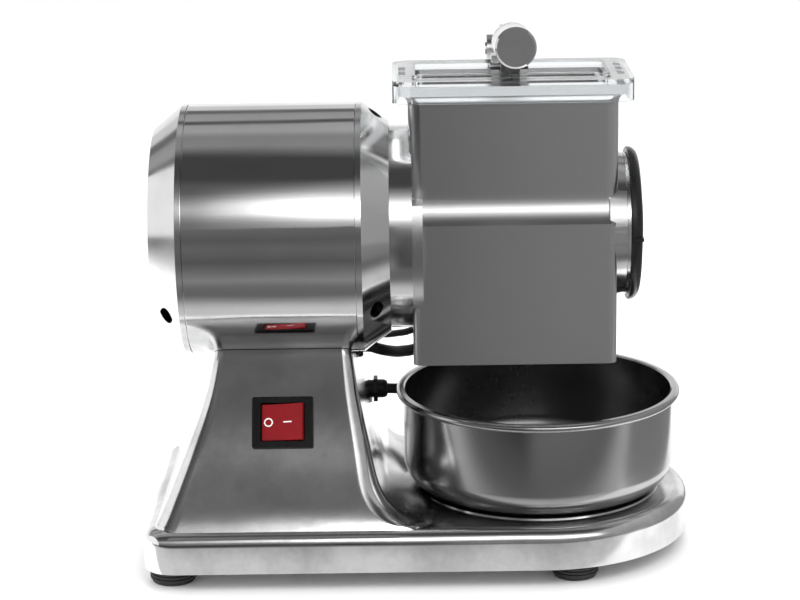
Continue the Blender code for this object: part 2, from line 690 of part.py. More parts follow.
def build_base(surface):
    edge = BASE_TOP - BASE_EDGE_ROUND
    rings = [base_outline(0, SKIRT_BOTTOM)]
    for out, up in arc((BASE_EDGE_ROUND, 0), BASE_EDGE_ROUND, 180, 90, CORNER_STEPS):
        rings.append(base_outline(out, edge + up))
    base = loft("base_casting", rings, surface)
    column = loft("column", [column_ring(below, left, right, 0)
                             for below, left, right in column_levels()])
    join(base, column)
    seat = rod("seat", SEAT_RADIUS, BASE_TOP - BURY, BASE_TOP + SEAT_HEIGHT, "Z",
               (BOWL_X, 0, 0), ROUND_LARGE)
    join(base, seat)
    inner_top = BASE_TOP - CAST_WALL
    hollow = [base_outline(CAST_WALL, SKIRT_BOTTOM - OVERRUN), base_outline(CAST_WALL, edge)]
    hollow.append(base_outline(BASE_EDGE_ROUND, inner_top))
    cut(base, loft("base_hollow", hollow))
    void = [COLUMN_VOID_BELOW_AXIS] + [row[0] for row in column_levels()
                                       if row[0] > COLUMN_VOID_BELOW_AXIS + BURY]
    void.append(COLUMN_FOOT_BELOW_AXIS + OVERRUN)
    rings = [column_ring(below, *column_side(below), CAST_WALL) for below in void]
    cut(base, loft("column_hollow", rings))
    cradle = rod("cradle", TUBE_RADIUS + GAP, BASE_LEFT_X, BOWL_X, "X", (0, 0, AXIS_Z),
                 ROUND_LARGE)
    cut(base, cradle)
    cut(base, rod("wire_hole", WIRE_HOLE_RADIUS, AXIS_Z - COLUMN_VOID_BELOW_AXIS - OVERRUN,
                  AXIS_Z - COLUMN_TOP_BELOW_AXIS, "Z", (wire_hole_x(), 0, 0), ROUND_SMALL))
    for _, (x, y) in foot_places():
        join(base, rod("boss", BOSS_RADIUS, cover_top() + GAP, inner_top + BURY, "Z",
                       (x, y, 0), ROUND_SMALL))
        cut(base, rod("boss_hole", SCREW_RADIUS + GAP, SKIRT_BOTTOM,
                      FOOT_RECESS_DEPTH + SCREW_LENGTH + GAP, "Z", (x, y, 0), ROUND_SMALL))
    width = WINDOW_WIDTH + 2 * (SWITCH_WALL + GAP)
    height = WINDOW_HEIGHT + 2 * (SWITCH_WALL + GAP)
    cut(base, slanted_prism("switch_hole", switch_outline(width, height, BEZEL_CORNER),
                            -CAST_WALL - 2 * OVERRUN, OVERRUN))
    for y, below, radius in side_holes():
        right = column_side(below)[1]
        cut(base, rod("side_hole", radius + GAP, right - CAST_WALL - 2 * OVERRUN,
                      right + OVERRUN, "X", (0, y, AXIS_Z - below), ROUND_SMALL))
    return base


def side_holes():
    """Holes in the column's right side: place, depth below the axis and radius."""
    return ((GROMMET_Y, GROMMET_BELOW_AXIS, LEAD_THICK_RADIUS + GROMMET_WALL),
            (THIN_GROMMET_Y, THIN_GROMMET_BELOW_AXIS, LEAD_THIN_RADIUS + GROMMET_WALL),
            (GLAND_Y, GLAND_BELOW_AXIS, GLAND_THREAD_RADIUS))


def wire_hole_x():
    return SWITCH_X + WIRE_HOLE_OFFSET


def build_cover(surface):
    inset = CAST_WALL + GAP
    cover = loft("base_cover", [base_outline(inset, cover_bottom()),
                                base_outline(inset, cover_top())], surface)
    for _, (x, y) in foot_places():
        cut(cover, rod("hole", SCREW_RADIUS + GAP, 0, AXIS_Z / 2, "Z", (x, y, 0), ROUND_SMALL))
    return cover


def build_feet(rubber_surface, screw_surface):
    bore = SCREW_RADIUS + GAP
    top = cover_bottom() - GAP
    profile = ((0, FOOT_RADIUS - FOOT_SOLE_DRAFT), (top / 4, FOOT_RADIUS),
               (top * 3 / 5, FOOT_RADIUS), (top, FOOT_RADIUS - FOOT_TOP_DRAFT), (top, bore),
               (FOOT_RECESS_DEPTH, bore), (FOOT_RECESS_DEPTH, FOOT_RECESS_RADIUS),
               (0, FOOT_RECESS_RADIUS))
    tip = FOOT_RECESS_DEPTH + SCREW_LENGTH - SCREW_HEAD_HEIGHT
    head = FOOT_RECESS_DEPTH - GAP
    screw = ((head - SCREW_HEAD_HEIGHT, 0), (head - SCREW_HEAD_HEIGHT, SCREW_HEAD_RADIUS),
             (head, SCREW_HEAD_RADIUS), (head, SCREW_RADIUS), (tip, SCREW_RADIUS), (tip, 0))
    for name, (x, y) in foot_places():
        turned("foot_" + name, profile, "Z", (x, y, 0), ROUND_MEDIUM, rubber_surface)
        turned("foot_screw_" + name, screw, "Z", (x, y, 0), ROUND_SMALL, screw_surface)


def on_axis(name, profile, count, surface=None):
    return turned(name, profile, "X", (0, 0, AXIS_Z), count, surface)


def vent(along, radius, lean, degrees):
    """Slot cutter through a cap's cone, at an angle round the motor axis."""
    slot = loft("vent", [[Vector((along + u, v, AXIS_Z + height)) for u, v in rounded_rectangle(
        -VENT_WIDTH / 2, VENT_WIDTH / 2, -VENT_LENGTH / 2, VENT_LENGTH / 2, VENT_WIDTH * 2 / 5)]
        for height in (radius - 3 * OVERRUN, radius + 2 * OVERRUN)])
    tilt(slot, lean, "Y", (along, 0, AXIS_Z + radius))
    tilt(slot, degrees - 90, "X", (0, 0, AXIS_Z))
    return slot


def cone_place(x1, r1, x2, r2):
    """Middle of a cap's cone and the lean of its surface in degrees."""
    return (x1 + x2) / 2, (r1 + r2) / 2, math.degrees(math.atan2(r1 - r2, x2 - x1))


def build_caps(surface):
    inner = TUBE_RADIUS - TUBE_WALL - GAP
    thin = inner - CAP_WALL / 2
    bore = SHAFT_RADIUS + RUNNING_GAP
    seat = BEARING_RADIUS + GAP
    seam = TUBE_RIGHT_X + GAP
    band = seam + CAP_BAND
    face = FRONT_CAP_X - CAP_WALL
    tip = FRONT_CAP_X + NECK_SPIGOT_LENGTH
    hub = face - BEARING_WIDTH - GAP
    spigot = NECK_SPIGOT_RADIUS
    front = on_axis("front_cap", (
        (seam, TUBE_RADIUS), (band, TUBE_RADIUS), (FRONT_CAP_X, FRONT_CAP_RADIUS),
        (FRONT_CAP_X, spigot), (tip, spigot), (tip, spigot - CAP_WALL),
        (FRONT_CAP_X, spigot - CAP_WALL), (FRONT_CAP_X, bore), (face, bore), (face, seat),
        (hub, seat), (hub, HUB_RADIUS), (face, HUB_RADIUS),
        (face, FRONT_CAP_RADIUS - CAP_WALL), (band - BURY, thin), (seam - CAP_SPIGOT, thin),
        (seam - CAP_SPIGOT, inner), (seam, inner)), ROUND_LARGE, surface)
    middle, radius, lean = cone_place(band, TUBE_RADIUS, FRONT_CAP_X, FRONT_CAP_RADIUS)
    for degrees in VENT_FRONT_DEGREES:
        cut(front, vent(middle, radius, lean, degrees))
    seam = TUBE_LEFT_X - GAP
    band = seam - CAP_BAND
    face = REAR_CAP_X + CAP_WALL
    hub = rear_bearing_x() + BEARING_WIDTH
    disc = REAR_DISC_RADIUS + GAP
    dome = REAR_CAP_X - REAR_DOME
    rear = on_axis("rear_cap", (
        (seam, TUBE_RADIUS), (band, TUBE_RADIUS), (REAR_CAP_X, REAR_CAP_RADIUS),
        (REAR_CAP_X - REAR_DOME * 3 / 5, REAR_CAP_RADIUS * 3 / 4), (dome, disc),
        (dome + REAR_DISC_THICKNESS + GAP, disc), (dome + REAR_DISC_THICKNESS + GAP, seat - CAP_WALL),
        (rear_bearing_x() - GAP, seat - CAP_WALL), (rear_bearing_x() - GAP, seat), (hub, seat),
        (hub, HUB_RADIUS), (face, HUB_RADIUS), (face, REAR_CAP_RADIUS - CAP_WALL),
        (band + BURY, thin), (seam + CAP_SPIGOT, thin), (seam + CAP_SPIGOT, inner),
        (seam, inner)), ROUND_LARGE, surface)
    middle, radius, lean = cone_place(REAR_CAP_X, REAR_CAP_RADIUS, band, TUBE_RADIUS)
    for degrees in VENT_REAR_DEGREES:
        cut(rear, vent(middle, radius, lean, degrees))
    disc = on_axis("rear_disc", (
        (dome, 0), (dome, REAR_DISC_RADIUS), (dome + REAR_DISC_THICKNESS, REAR_DISC_RADIUS),
        (dome + REAR_DISC_THICKNESS, 0)), ROUND_MEDIUM, surface)
    return front, rear, disc


def rear_bearing_x():
    return REAR_CAP_X + BURY


def build_motor(shell_surface, core_surface, copper_surface, bearing_surface, fan_surface):
    shell = ring("motor_shell", TUBE_RADIUS - TUBE_WALL, TUBE_RADIUS, TUBE_LEFT_X, TUBE_RIGHT_X,
                 "X", (0, 0, AXIS_Z), ROUND_LARGE, shell_surface)
    cut(shell, rod("wire_hole", WIRE_HOLE_RADIUS, AXIS_Z - TUBE_RADIUS - OVERRUN,
                   AXIS_Z - TUBE_RADIUS + OVERRUN, "Z", (wire_hole_x(), 0, 0), ROUND_SMALL))
    centre = (0, 0, AXIS_Z)
    bore = ROTOR_RADIUS + ROTOR_AIR_GAP
    ring("stator_core", bore, TUBE_RADIUS - TUBE_WALL - GAP, STATOR_LEFT_X, STATOR_RIGHT_X, "X",
         centre, ROUND_LARGE, core_surface)
    for name, start, way in (("winding_front", STATOR_RIGHT_X + GAP, 1),
                             ("winding_rear", STATOR_LEFT_X - GAP, -1)):
        half = WINDING_LENGTH / 2
        middle = (WINDING_INNER + WINDING_OUTER) / 2
        wide = (WINDING_OUTER - WINDING_INNER) / 2
        profile = [(start, WINDING_INNER), (start, WINDING_OUTER)]
        profile += [(start + way * half * (1 + along), middle + wide * out)
                    for along, out in arc((0, 0), 1, 80, -80, CORNER_STEPS)]
        on_axis(name, profile, ROUND_MEDIUM, copper_surface)
    on = SHAFT_RADIUS + GAP
    front_x = FRONT_CAP_X - CAP_WALL - GAP - BEARING_WIDTH
    for name, left in (("bearing_front", front_x), ("bearing_rear", rear_bearing_x())):
        ring(name, on, BEARING_RADIUS, left, left + BEARING_WIDTH, "X", centre, ROUND_MEDIUM,
             bearing_surface)
    ring("rotor_core", on, ROTOR_RADIUS, STATOR_LEFT_X, STATOR_RIGHT_X, "X", centre,
         ROUND_MEDIUM, core_surface)
    build_fan(on, fan_surface)


def build_fan(bore, surface):
    """Radial fan: a disc with the spaces between its straight blades cut out."""
    fan = ring("fan", bore, FAN_RADIUS, FAN_X, FAN_X + FAN_WIDTH, "X", (0, 0, AXIS_Z),
               ROUND_MEDIUM, surface)
    pitch = 360 / FAN_BLADES
    half = pitch / 2 - FAN_BLADE_DEGREES
    for i in range(FAN_BLADES):
        middle = pitch * (i + 1 / 3)
        outline = arc((0, 0), FAN_RADIUS + OVERRUN, middle - half, middle + half, 4)
        outline += arc((0, 0), FAN_HUB_RADIUS, middle + half / 2, middle - half / 2, 2)
        cut(fan, prism("space", outline, FAN_X - OVERRUN, FAN_X + FAN_WIDTH * 4 / 5, "X",
                       shift=(0, 0, AXIS_Z)))


def shell_ring(height, left, right, half, corner):
    """One level of the hopper or chute, at a height from the motor axis."""
    return [Vector((x, y, AXIS_Z + height))
            for x, y in rounded_rectangle(left, right, -half, half, corner)]


def blend(first, second, share):
    return [a + (b - a) * share for a, b in zip(first, second)]


def housing_levels(inset):
    """Levels of the housing from the chute's mouth up to the hopper's flange."""
    chute = (CHUTE_LEFT_X, CHUTE_RIGHT_X, CHUTE_HALF_DEPTH, CHUTE_CORNER)
    hopper = (HOPPER_LEFT_X, HOPPER_RIGHT_X, HOPPER_HALF_DEPTH, HOPPER_CORNER)
    flange = (HOPPER_LEFT_X - FLANGE_OVERHANG, HOPPER_RIGHT_X + FLANGE_OVERHANG,
              FLANGE_HALF_DEPTH, HOPPER_CORNER)
    levels = [(CHUTE_BOTTOM, chute)]
    for i in range(CORNER_STEPS + 2):
        share = i / (CORNER_STEPS + 1)
        height = SHOULDER_FOOT + (SHOULDER_TOP - SHOULDER_FOOT) * share
        ease = (1 - math.cos(math.pi * share)) / 2
        levels.append((height, blend(chute, hopper, ease)))
    if inset:
        levels.append((FLANGE_TOP + OVERRUN, hopper))
        levels[0] = (CHUTE_BOTTOM - OVERRUN, chute)
    else:
        levels.append((FLARE_FOOT, hopper))
        for i in range(1, CORNER_STEPS + 1):
            share = i / CORNER_STEPS
            out = 1 - math.sqrt(1 - share * share)
            height = FLARE_FOOT + (FLANGE_FOOT - FLARE_FOOT) * share
            levels.append((height, blend(hopper, flange, out)))
        levels.append((FLANGE_TOP, flange))
    rings = []
    for height, (left, right, half, corner) in levels:
        rings.append(shell_ring(height, left + inset, right - inset, half - inset,
                                corner - inset / 2))
    return rings


def ear_outline():
    wall = HOPPER_HALF_DEPTH - HOUSING_WALL / 2
    behind = GUARD_HALF_DEPTH + RUNNING_GAP
    under = GUARD_TOP - GUARD_HEIGHT - RUNNING_GAP
    outline = [(wall, EAR_FOOT), (HINGE_Y - EAR_RADIUS / 2, EAR_FOOT + EAR_RADIUS)]
    outline += arc((HINGE_Y, HINGE_Z), EAR_RADIUS, -10, 175, 2 * CORNER_STEPS)
    outline += [(behind, HINGE_Z - EAR_RADIUS), (behind, under), (wall, under)]
    return outline


def build_housing(surface):
    housing = loft("grater_housing", housing_levels(0), surface)
    join(housing, on_axis("neck", (
        (NECK_LEFT_X, 0), (NECK_LEFT_X, NECK_RADIUS), (NECK_RIGHT_X, NECK_RADIUS),
        (NECK_RIGHT_X, 0)), ROUND_LARGE))
    cheek = on_axis("cheek", (
        (NECK_RIGHT_X - BURY, 0), (NECK_RIGHT_X - BURY, NECK_RADIUS),
        (CHEEK_RIGHT_X, NECK_RADIUS), (CHEEK_RIGHT_X, 0)), ROUND_LARGE)
    keep = box("keep", (NECK_RIGHT_X - OVERRUN, -BASE_DEPTH / 2, AXIS_Z + CHEEK_BOTTOM),
               (CHEEK_RIGHT_X + OVERRUN, BASE_DEPTH / 2, AXIS_Z + CHEEK_TOP))
    combine(cheek, keep, "INTERSECT")
    join(housing, cheek)
    join(housing, on_axis("end_ring", (
        (END_RING_LEFT_X, 0), (END_RING_LEFT_X, END_RING_RADIUS),
        (END_RING_RIGHT_X, END_RING_TIP_RADIUS), (END_RING_RIGHT_X, 0)), ROUND_LARGE))
    for side in (-1, 1):
        inner = LEVER_X + side * (ARM_THICKNESS / 2 + RUNNING_GAP)
        outer = inner + side * EAR_THICKNESS
        join(housing, prism("ear", ear_outline(), min(inner, outer), max(inner, outer), "X",
                            shift=(0, 0, AXIS_Z)))
    cut(housing, loft("cavity", housing_levels(HOUSING_WALL)))
    cut(housing, rod("neck_recess", NECK_SPIGOT_RADIUS + GAP, NECK_LEFT_X - OVERRUN,
                     NECK_LEFT_X + NECK_SPIGOT_LENGTH + 2 * GAP, "X", (0, 0, AXIS_Z),
                     ROUND_LARGE))
    cut(housing, rod("seal_bore", SEAL_RADIUS + GAP, NECK_LEFT_X - OVERRUN,
                     CHEEK_RIGHT_X + OVERRUN, "X", (0, 0, AXIS_Z), ROUND_MEDIUM))
    cut(housing, rod("drum_bore", DRUM_BORE_RADIUS, END_RING_LEFT_X - OVERRUN,
                     END_RING_RIGHT_X + OVERRUN, "X", (0, 0, AXIS_Z), ROUND_LARGE))
    cut(housing, rod("pin_hole", PIN_RADIUS + GAP, 0, 2 * LEVER_X, "X",
                     (0, HINGE_Y, AXIS_Z + HINGE_Z), ROUND_SMALL))
    for degrees in NECK_SCREW_DEGREES:
        cut(housing, neck_rod("screw_hole", NECK_SCREW_RADIUS + GAP, NECK_SPIGOT_RADIUS,
                              NECK_RADIUS + OVERRUN, degrees, None))
    return housing


def neck_rod(name, radius, low, high, degrees, surface):
    made = rod(name, radius, AXIS_Z + low, AXIS_Z + high, "Z", (NECK_SCREW_X, 0, 0),
               ROUND_SMALL, surface)
    tilt(made, degrees + 90, "X", (0, 0, AXIS_Z))
    return made


def build_neck(steel_surface, seal_surface):
    low = NECK_SPIGOT_RADIUS + GAP
    for name, degrees in zip(("neck_screw_upper", "neck_screw_lower"), NECK_SCREW_DEGREES):
        neck_rod(name, NECK_SCREW_RADIUS, low, NECK_RADIUS - GAP, degrees, steel_surface)
    ring("shaft_seal", SHAFT_RADIUS + GAP, SEAL_RADIUS, FRONT_CAP_X + GAP, NECK_RIGHT_X, "X",
         (0, 0, AXIS_Z), ROUND_MEDIUM, seal_surface)


def flat_ring(height, left, right, half, corner):
    return [Vector((x, y, AXIS_Z + height))
            for x, y in rounded_rectangle(left, right, -half, half, corner)]


def flat_block(name, low, high, left, right, half, corner, surface=None):
    return loft(name, [flat_ring(low, left, right, half, corner),
                       flat_ring(high, left, right, half, corner)], surface)


def build_guard(surface):
    bottom = GUARD_TOP - GUARD_HEIGHT
    ceiling = FLANGE_TOP + GAP
    guard = flat_block("hopper_guard", bottom, GUARD_TOP, GUARD_LEFT_X, GUARD_RIGHT_X,
                       GUARD_HALF_DEPTH, GUARD_CORNER, surface)
    lip = MOUTH_LIP_WIDTH
    join(guard, flat_block("lip", GUARD_TOP - BURY, GUARD_TOP + MOUTH_LIP, MOUTH_LEFT_X - lip,
                           MOUTH_RIGHT_X + lip, MOUTH_HALF_DEPTH + lip, MOUTH_CORNER + lip))
    cut(guard, flat_block("inside", bottom - OVERRUN, ceiling, GUARD_LEFT_X + GUARD_WALL,
                          GUARD_RIGHT_X - GUARD_WALL, GUARD_HALF_DEPTH - GUARD_WALL,
                          GUARD_CORNER - GUARD_WALL))
    cut(guard, flat_block("mouth", bottom - OVERRUN, GUARD_TOP + OVERRUN, MOUTH_LEFT_X,
                          MOUTH_RIGHT_X, MOUTH_HALF_DEPTH, MOUTH_CORNER))
    return guard


def drum_hub(name, left, bore, surface):
    ring(name, bore, DRUM_RADIUS - DRUM_WALL - GAP, left, left + DRUM_HUB_WIDTH, "X",
         (0, 0, AXIS_Z), ROUND_MEDIUM, surface)


def build_spindle(steel_surface, drum_surface, hub_surface):
    step = DRUM_RIGHT_X - DRUM_HUB_WIDTH - GAP
    on_axis("motor_shaft", (
        (SHAFT_LEFT_X, 0), (SHAFT_LEFT_X, SHAFT_RADIUS), (DRUM_RIGHT_X + GAP, SHAFT_RADIUS),
        (DRUM_RIGHT_X + GAP, JOURNAL_RADIUS), (JOURNAL_RIGHT_X, JOURNAL_RADIUS),
        (JOURNAL_RIGHT_X, 0)), ROUND_SMALL, steel_surface)
    ring("grating_drum", DRUM_RADIUS - DRUM_WALL, DRUM_RADIUS, DRUM_LEFT_X, DRUM_RIGHT_X, "X",
         (0, 0, AXIS_Z), ROUND_LARGE, drum_surface)
    drum_hub("drum_hub_inner", DRUM_LEFT_X, SHAFT_RADIUS + GAP, hub_surface)
    drum_hub("drum_hub_outer", step, SHAFT_RADIUS + GAP, hub_surface)
    left = DRUM_RIGHT_X + 2 * GAP
    outline = arc((0, 0), NUT_RADIUS, 0, 300, 5)
    nut = prism("drum_nut", outline, left, left + NUT_WIDTH, "X", steel_surface,
                (0, 0, AXIS_Z))
    cut(nut, rod("bore", JOURNAL_RADIUS + GAP, left - OVERRUN, left + NUT_WIDTH + OVERRUN, "X",
                 (0, 0, AXIS_Z), ROUND_SMALL))


def build_end_cover(cover_surface, bush_surface):
    inside = DRUM_BORE_RADIUS - GAP
    outer = END_RING_RIGHT_X + GAP
    back = KNOB_RIM_X - GAP
    pocket = BUSH_RADIUS + GAP
    floor = JOURNAL_RIGHT_X + RUNNING_GAP
    thin = inside - HOUSING_WALL
    on_axis("end_cover", (
        (COVER_SPIGOT_LEFT_X, inside), (outer, inside), (outer, END_RING_TIP_RADIUS),
        (back, END_RING_TIP_RADIUS), (back, STUD_RADIUS), (back + STUD_LENGTH, STUD_RADIUS),
        (back + STUD_LENGTH, 0), (floor, 0), (floor, pocket), (COVER_SPIGOT_LEFT_X, pocket),
        (COVER_SPIGOT_LEFT_X, pocket + HOUSING_WALL), (floor, pocket + HOUSING_WALL),
        (floor, thin), (COVER_SPIGOT_LEFT_X, thin)),
        ROUND_MEDIUM, cover_surface)
    ring("cover_bush", JOURNAL_RADIUS + GAP, BUSH_RADIUS, BUSH_LEFT_X, floor - GAP, "X",
         (0, 0, AXIS_Z), ROUND_MEDIUM, bush_surface)


def build_knob(surface):
    """Domed disc that locks the end cover, with a nub on its rim as a pointer."""
    socket = STUD_RADIUS + GAP
    depth = KNOB_RIM_X + STUD_LENGTH + GAP
    side = KNOB_FACE_X - KNOB_EDGE_ROUND - (KNOB_FACE_X - KNOB_RIM_X) / 4
    profile = [(KNOB_RIM_X, socket), (KNOB_RIM_X, KNOB_RADIUS - KNOB_NUB / 4),
               (KNOB_RIM_X + KNOB_NUB / 4, KNOB_RADIUS)]
    profile += [(side + KNOB_EDGE_ROUND * out, KNOB_RADIUS - KNOB_EDGE_ROUND * (1 - up))
                for up, out in arc((0, 0), 1, 0, 75, CORNER_STEPS)]
    profile += [(KNOB_FACE_X - GAP, KNOB_RADIUS / 2), (KNOB_FACE_X, 0), (depth, 0),
                (depth, socket)]
    knob = on_axis("cover_knob", profile, ROUND_LARGE, surface)
    nub = box("nub", (KNOB_RIM_X + GAP, -KNOB_RADIUS - KNOB_NUB / 2, AXIS_Z - KNOB_NUB),
              (KNOB_FACE_X + KNOB_NUB / 2, KNOB_EDGE_ROUND - KNOB_RADIUS, AXIS_Z + KNOB_NUB))
    join(knob, nub)
    return knob


def grip_way():
    slope = math.radians(GRIP_DEGREES)
    return Vector((0, -math.cos(slope), math.sin(slope)))


def grip_spot(back):
    """Point on the grip's axis, at a distance behind its front face."""
    front = Vector((LEVER_X, GRIP_FRONT_Y, AXIS_Z + GRIP_FRONT_Z))
    return front - grip_way() * back


def along_grip(name, profile, count, surface=None):
    """Turn a profile of (distance behind the front face, radius) about the grip's axis."""
    made = turned(name, profile, "Y", (LEVER_X, GRIP_FRONT_Y, AXIS_Z + GRIP_FRONT_Z), count,
                  surface)
    tilt(made, -GRIP_DEGREES, "X", (LEVER_X, GRIP_FRONT_Y, AXIS_Z + GRIP_FRONT_Z))
    return made


def build_lever(arm_surface, grip_surface):
    rear = grip_spot(GRIP_LENGTH + GAP) - Vector((LEVER_X, 0, AXIS_Z))
    across = grip_way().cross(Vector((1, 0, 0))) * (GRIP_RADIUS / 2)
    upper = rear + across
    lower = rear - across
    stem_bottom = PRESSER_PIN_Z - LUG_HALF_DEPTH * 3 / 5
    lift = FLANGE_TOP + GUARD_WALL * 2 + MOUTH_LIP
    outline = [
        (HINGE_Y, HINGE_Z + EAR_RADIUS), (0, upper.z), (upper.y, upper.z),
        (lower.y, lower.z), (-MOUTH_HALF_DEPTH * 3 / 5, lift),
        (-LUG_HALF_DEPTH, stem_bottom), (LUG_HALF_DEPTH, stem_bottom),
        (LUG_HALF_DEPTH * 3 / 2, lift), (HINGE_Y, HINGE_Z)]
    left = LEVER_X - ARM_THICKNESS / 2
    right = LEVER_X + ARM_THICKNESS / 2
    arm = prism("lever_arm", outline, left, right, "X", arm_surface, (0, 0, AXIS_Z))
    join(arm, rod("hinge_boss", EAR_RADIUS - GAP, left, right, "X",
                  (0, HINGE_Y, AXIS_Z + HINGE_Z), ROUND_MEDIUM))
    join(arm, along_grip("stud", (
        (GRIP_LENGTH - GRIP_BORE_DEPTH + GAP, 0),
        (GRIP_LENGTH - GRIP_BORE_DEPTH + GAP, STUD_ROD_RADIUS),
        (GRIP_LENGTH + GRIP_RADIUS, STUD_ROD_RADIUS), (GRIP_LENGTH + GRIP_RADIUS, 0)),
        ROUND_SMALL))
    cut(arm, rod("pin_hole", PIN_RADIUS + GAP, left - OVERRUN, right + OVERRUN, "X",
                 (0, HINGE_Y, AXIS_Z + HINGE_Z), ROUND_SMALL))
    cut(arm, rod("presser_pin_hole", PRESSER_PIN_RADIUS + GAP, left - OVERRUN, right + OVERRUN,
                 "X", (0, 0, AXIS_Z + PRESSER_PIN_Z), ROUND_SMALL))
    chamfer = GRIP_CHAMFER
    groove = chamfer / 2
    profile = [(0, 0), (0, GRIP_FACE_RADIUS), (chamfer, GRIP_RADIUS)]
    for i in range(3):
        start = GRIP_LENGTH * 3 / 4 + i * 4 * groove
        profile += [(start, GRIP_RADIUS), (start + groove, GRIP_RADIUS - groove),
                    (start + 2 * groove, GRIP_RADIUS)]
    profile += [(GRIP_LENGTH - chamfer, GRIP_RADIUS), (GRIP_LENGTH, GRIP_FACE_RADIUS),
                (GRIP_LENGTH, STUD_ROD_RADIUS + GAP),
                (GRIP_LENGTH - GRIP_BORE_DEPTH, STUD_ROD_RADIUS + GAP),
                (GRIP_LENGTH - GRIP_BORE_DEPTH, 0)]
    grip = along_grip("grip", profile, ROUND_MEDIUM, grip_surface)
    return arm, grip


def presser_outline(inset):
    """Side view of the presser: arcs about the hinge in front and below, the drum's arc between."""
    hinge = Vector((HINGE_Y, HINGE_Z))
    front = HINGE_Y + MOUTH_HALF_DEPTH - PRESSER_FRONT_GAP - inset
    reach = hinge.length - DRUM_RADIUS - DRUM_CLEARANCE - inset
    drum = DRUM_RADIUS + DRUM_CLEARANCE + inset
    back = HOPPER_HALF_DEPTH - HOUSING_WALL - PRESSER_BACK_GAP - inset
    mouth_back = math.hypot(HINGE_Y - MOUTH_HALF_DEPTH, HINGE_Z - GUARD_TOP + GUARD_HEIGHT)
    upper = mouth_back + PRESSER_FRONT_GAP + inset
    top = PRESSER_TOP + (OVERRUN if inset else 0)
    # Where the front arc meets the drum's arc, by the triangle of hinge, axis and meeting point
    far = hinge.length
    base = math.atan2(-hinge.y, -hinge.x)
    spread = math.acos((far * far + front * front - drum * drum) / (2 * far * front))
    start = math.atan2(top - HINGE_Z, -math.sqrt(front * front - (top - HINGE_Z) ** 2))
    meet = base - spread
    points = arc((HINGE_Y, HINGE_Z), front, math.degrees(start) - (360 if start > 0 else 0),
                 math.degrees(meet), 2 * CORNER_STEPS)
    joint = Vector(points[-1])
    points += arc((0, 0), drum, math.degrees(math.atan2(joint.y, joint.x)),
                  math.degrees(math.atan2(hinge.y, hinge.x)), CORNER_STEPS)[1:]
    drop = math.sqrt(reach * reach - (HINGE_Y - back) ** 2)
    points += arc((HINGE_Y, HINGE_Z), reach, math.degrees(base),
                  math.degrees(math.atan2(-drop, back - HINGE_Y)), CORNER_STEPS)[1:]
    rise = math.sqrt(upper * upper - (HINGE_Y - back) ** 2)
    end = math.atan2(top - HINGE_Z, -math.sqrt(upper * upper - (top - HINGE_Z) ** 2))
    points += arc((HINGE_Y, HINGE_Z), upper, math.degrees(math.atan2(-rise, back - HINGE_Y)),
                  math.degrees(end) - (360 if end > 0 else 0), CORNER_STEPS)
    return points


def build_presser(surface, pin_surface):
    left = MOUTH_LEFT_X + PRESSER_SIDE_GAP
    right = MOUTH_RIGHT_X - PRESSER_SIDE_GAP
    presser = prism("presser", presser_outline(0), left, right, "X", surface, (0, 0, AXIS_Z))
    cut(presser, prism("pan", presser_outline(PRESSER_WALL), left + PRESSER_WALL,
                       right - PRESSER_WALL, "X", shift=(0, 0, AXIS_Z)))
    floor = AXIS_Z + DRUM_RADIUS + DRUM_CLEARANCE + BURY
    for side in (-1, 1):
        inner = LEVER_X + side * (ARM_THICKNESS / 2 + GAP)
        outer = inner + side * LUG_THICKNESS
        join(presser, box("lug", (min(inner, outer), -LUG_HALF_DEPTH / 5, floor),
                          (max(inner, outer), LUG_HALF_DEPTH, AXIS_Z + LUG_TOP)))
    cut(presser, rod("pin_hole", PRESSER_PIN_RADIUS + GAP, left, right, "X",
                     (0, 0, AXIS_Z + PRESSER_PIN_Z), ROUND_SMALL))
    for name, radius, y, z, half in (
            ("presser_pin", PRESSER_PIN_RADIUS, 0, PRESSER_PIN_Z,
             ARM_THICKNESS / 2 + LUG_THICKNESS + BURY),
            ("lever_pin", PIN_RADIUS, HINGE_Y, HINGE_Z,
             ARM_THICKNESS / 2 + RUNNING_GAP + EAR_THICKNESS + BURY)):
        rod(name, radius, LEVER_X - half, LEVER_X + half, "X", (0, y, AXIS_Z + z), ROUND_SMALL,
            pin_surface)
    return presser


def build_bowl(surface):
    """Spun bowl with a round lower corner and a rolled bead at the rim."""
    inner = BOWL_RADIUS - BOWL_WALL
    corner = (BOWL_RADIUS - BOWL_CORNER, BOWL_BOTTOM + BOWL_CORNER)
    bead = (BOWL_RIM_RADIUS - BOWL_BEAD, BOWL_TOP - BOWL_BEAD)
    outside = [(0, BOWL_BOTTOM)] + arc(corner, BOWL_CORNER, -90, 0, 2 * CORNER_STEPS)
    outside += [(BOWL_RADIUS, bead[1] - BOWL_BEAD)]
    outside += arc(bead, BOWL_BEAD, -90, 90, CORNER_STEPS)
    outside += [(inner + BOWL_WALL, BOWL_TOP), (inner, BOWL_TOP - BOWL_WALL)]
    inside = arc(corner, BOWL_CORNER - BOWL_WALL, 0, -90, 2 * CORNER_STEPS)
    profile = [(height, radius) for radius, height in outside + inside]
    profile.append((BOWL_BOTTOM + BOWL_WALL, 0))
    return turned("bowl", profile, "Z", (BOWL_X, 0, 0), ROUND_LARGE, surface)


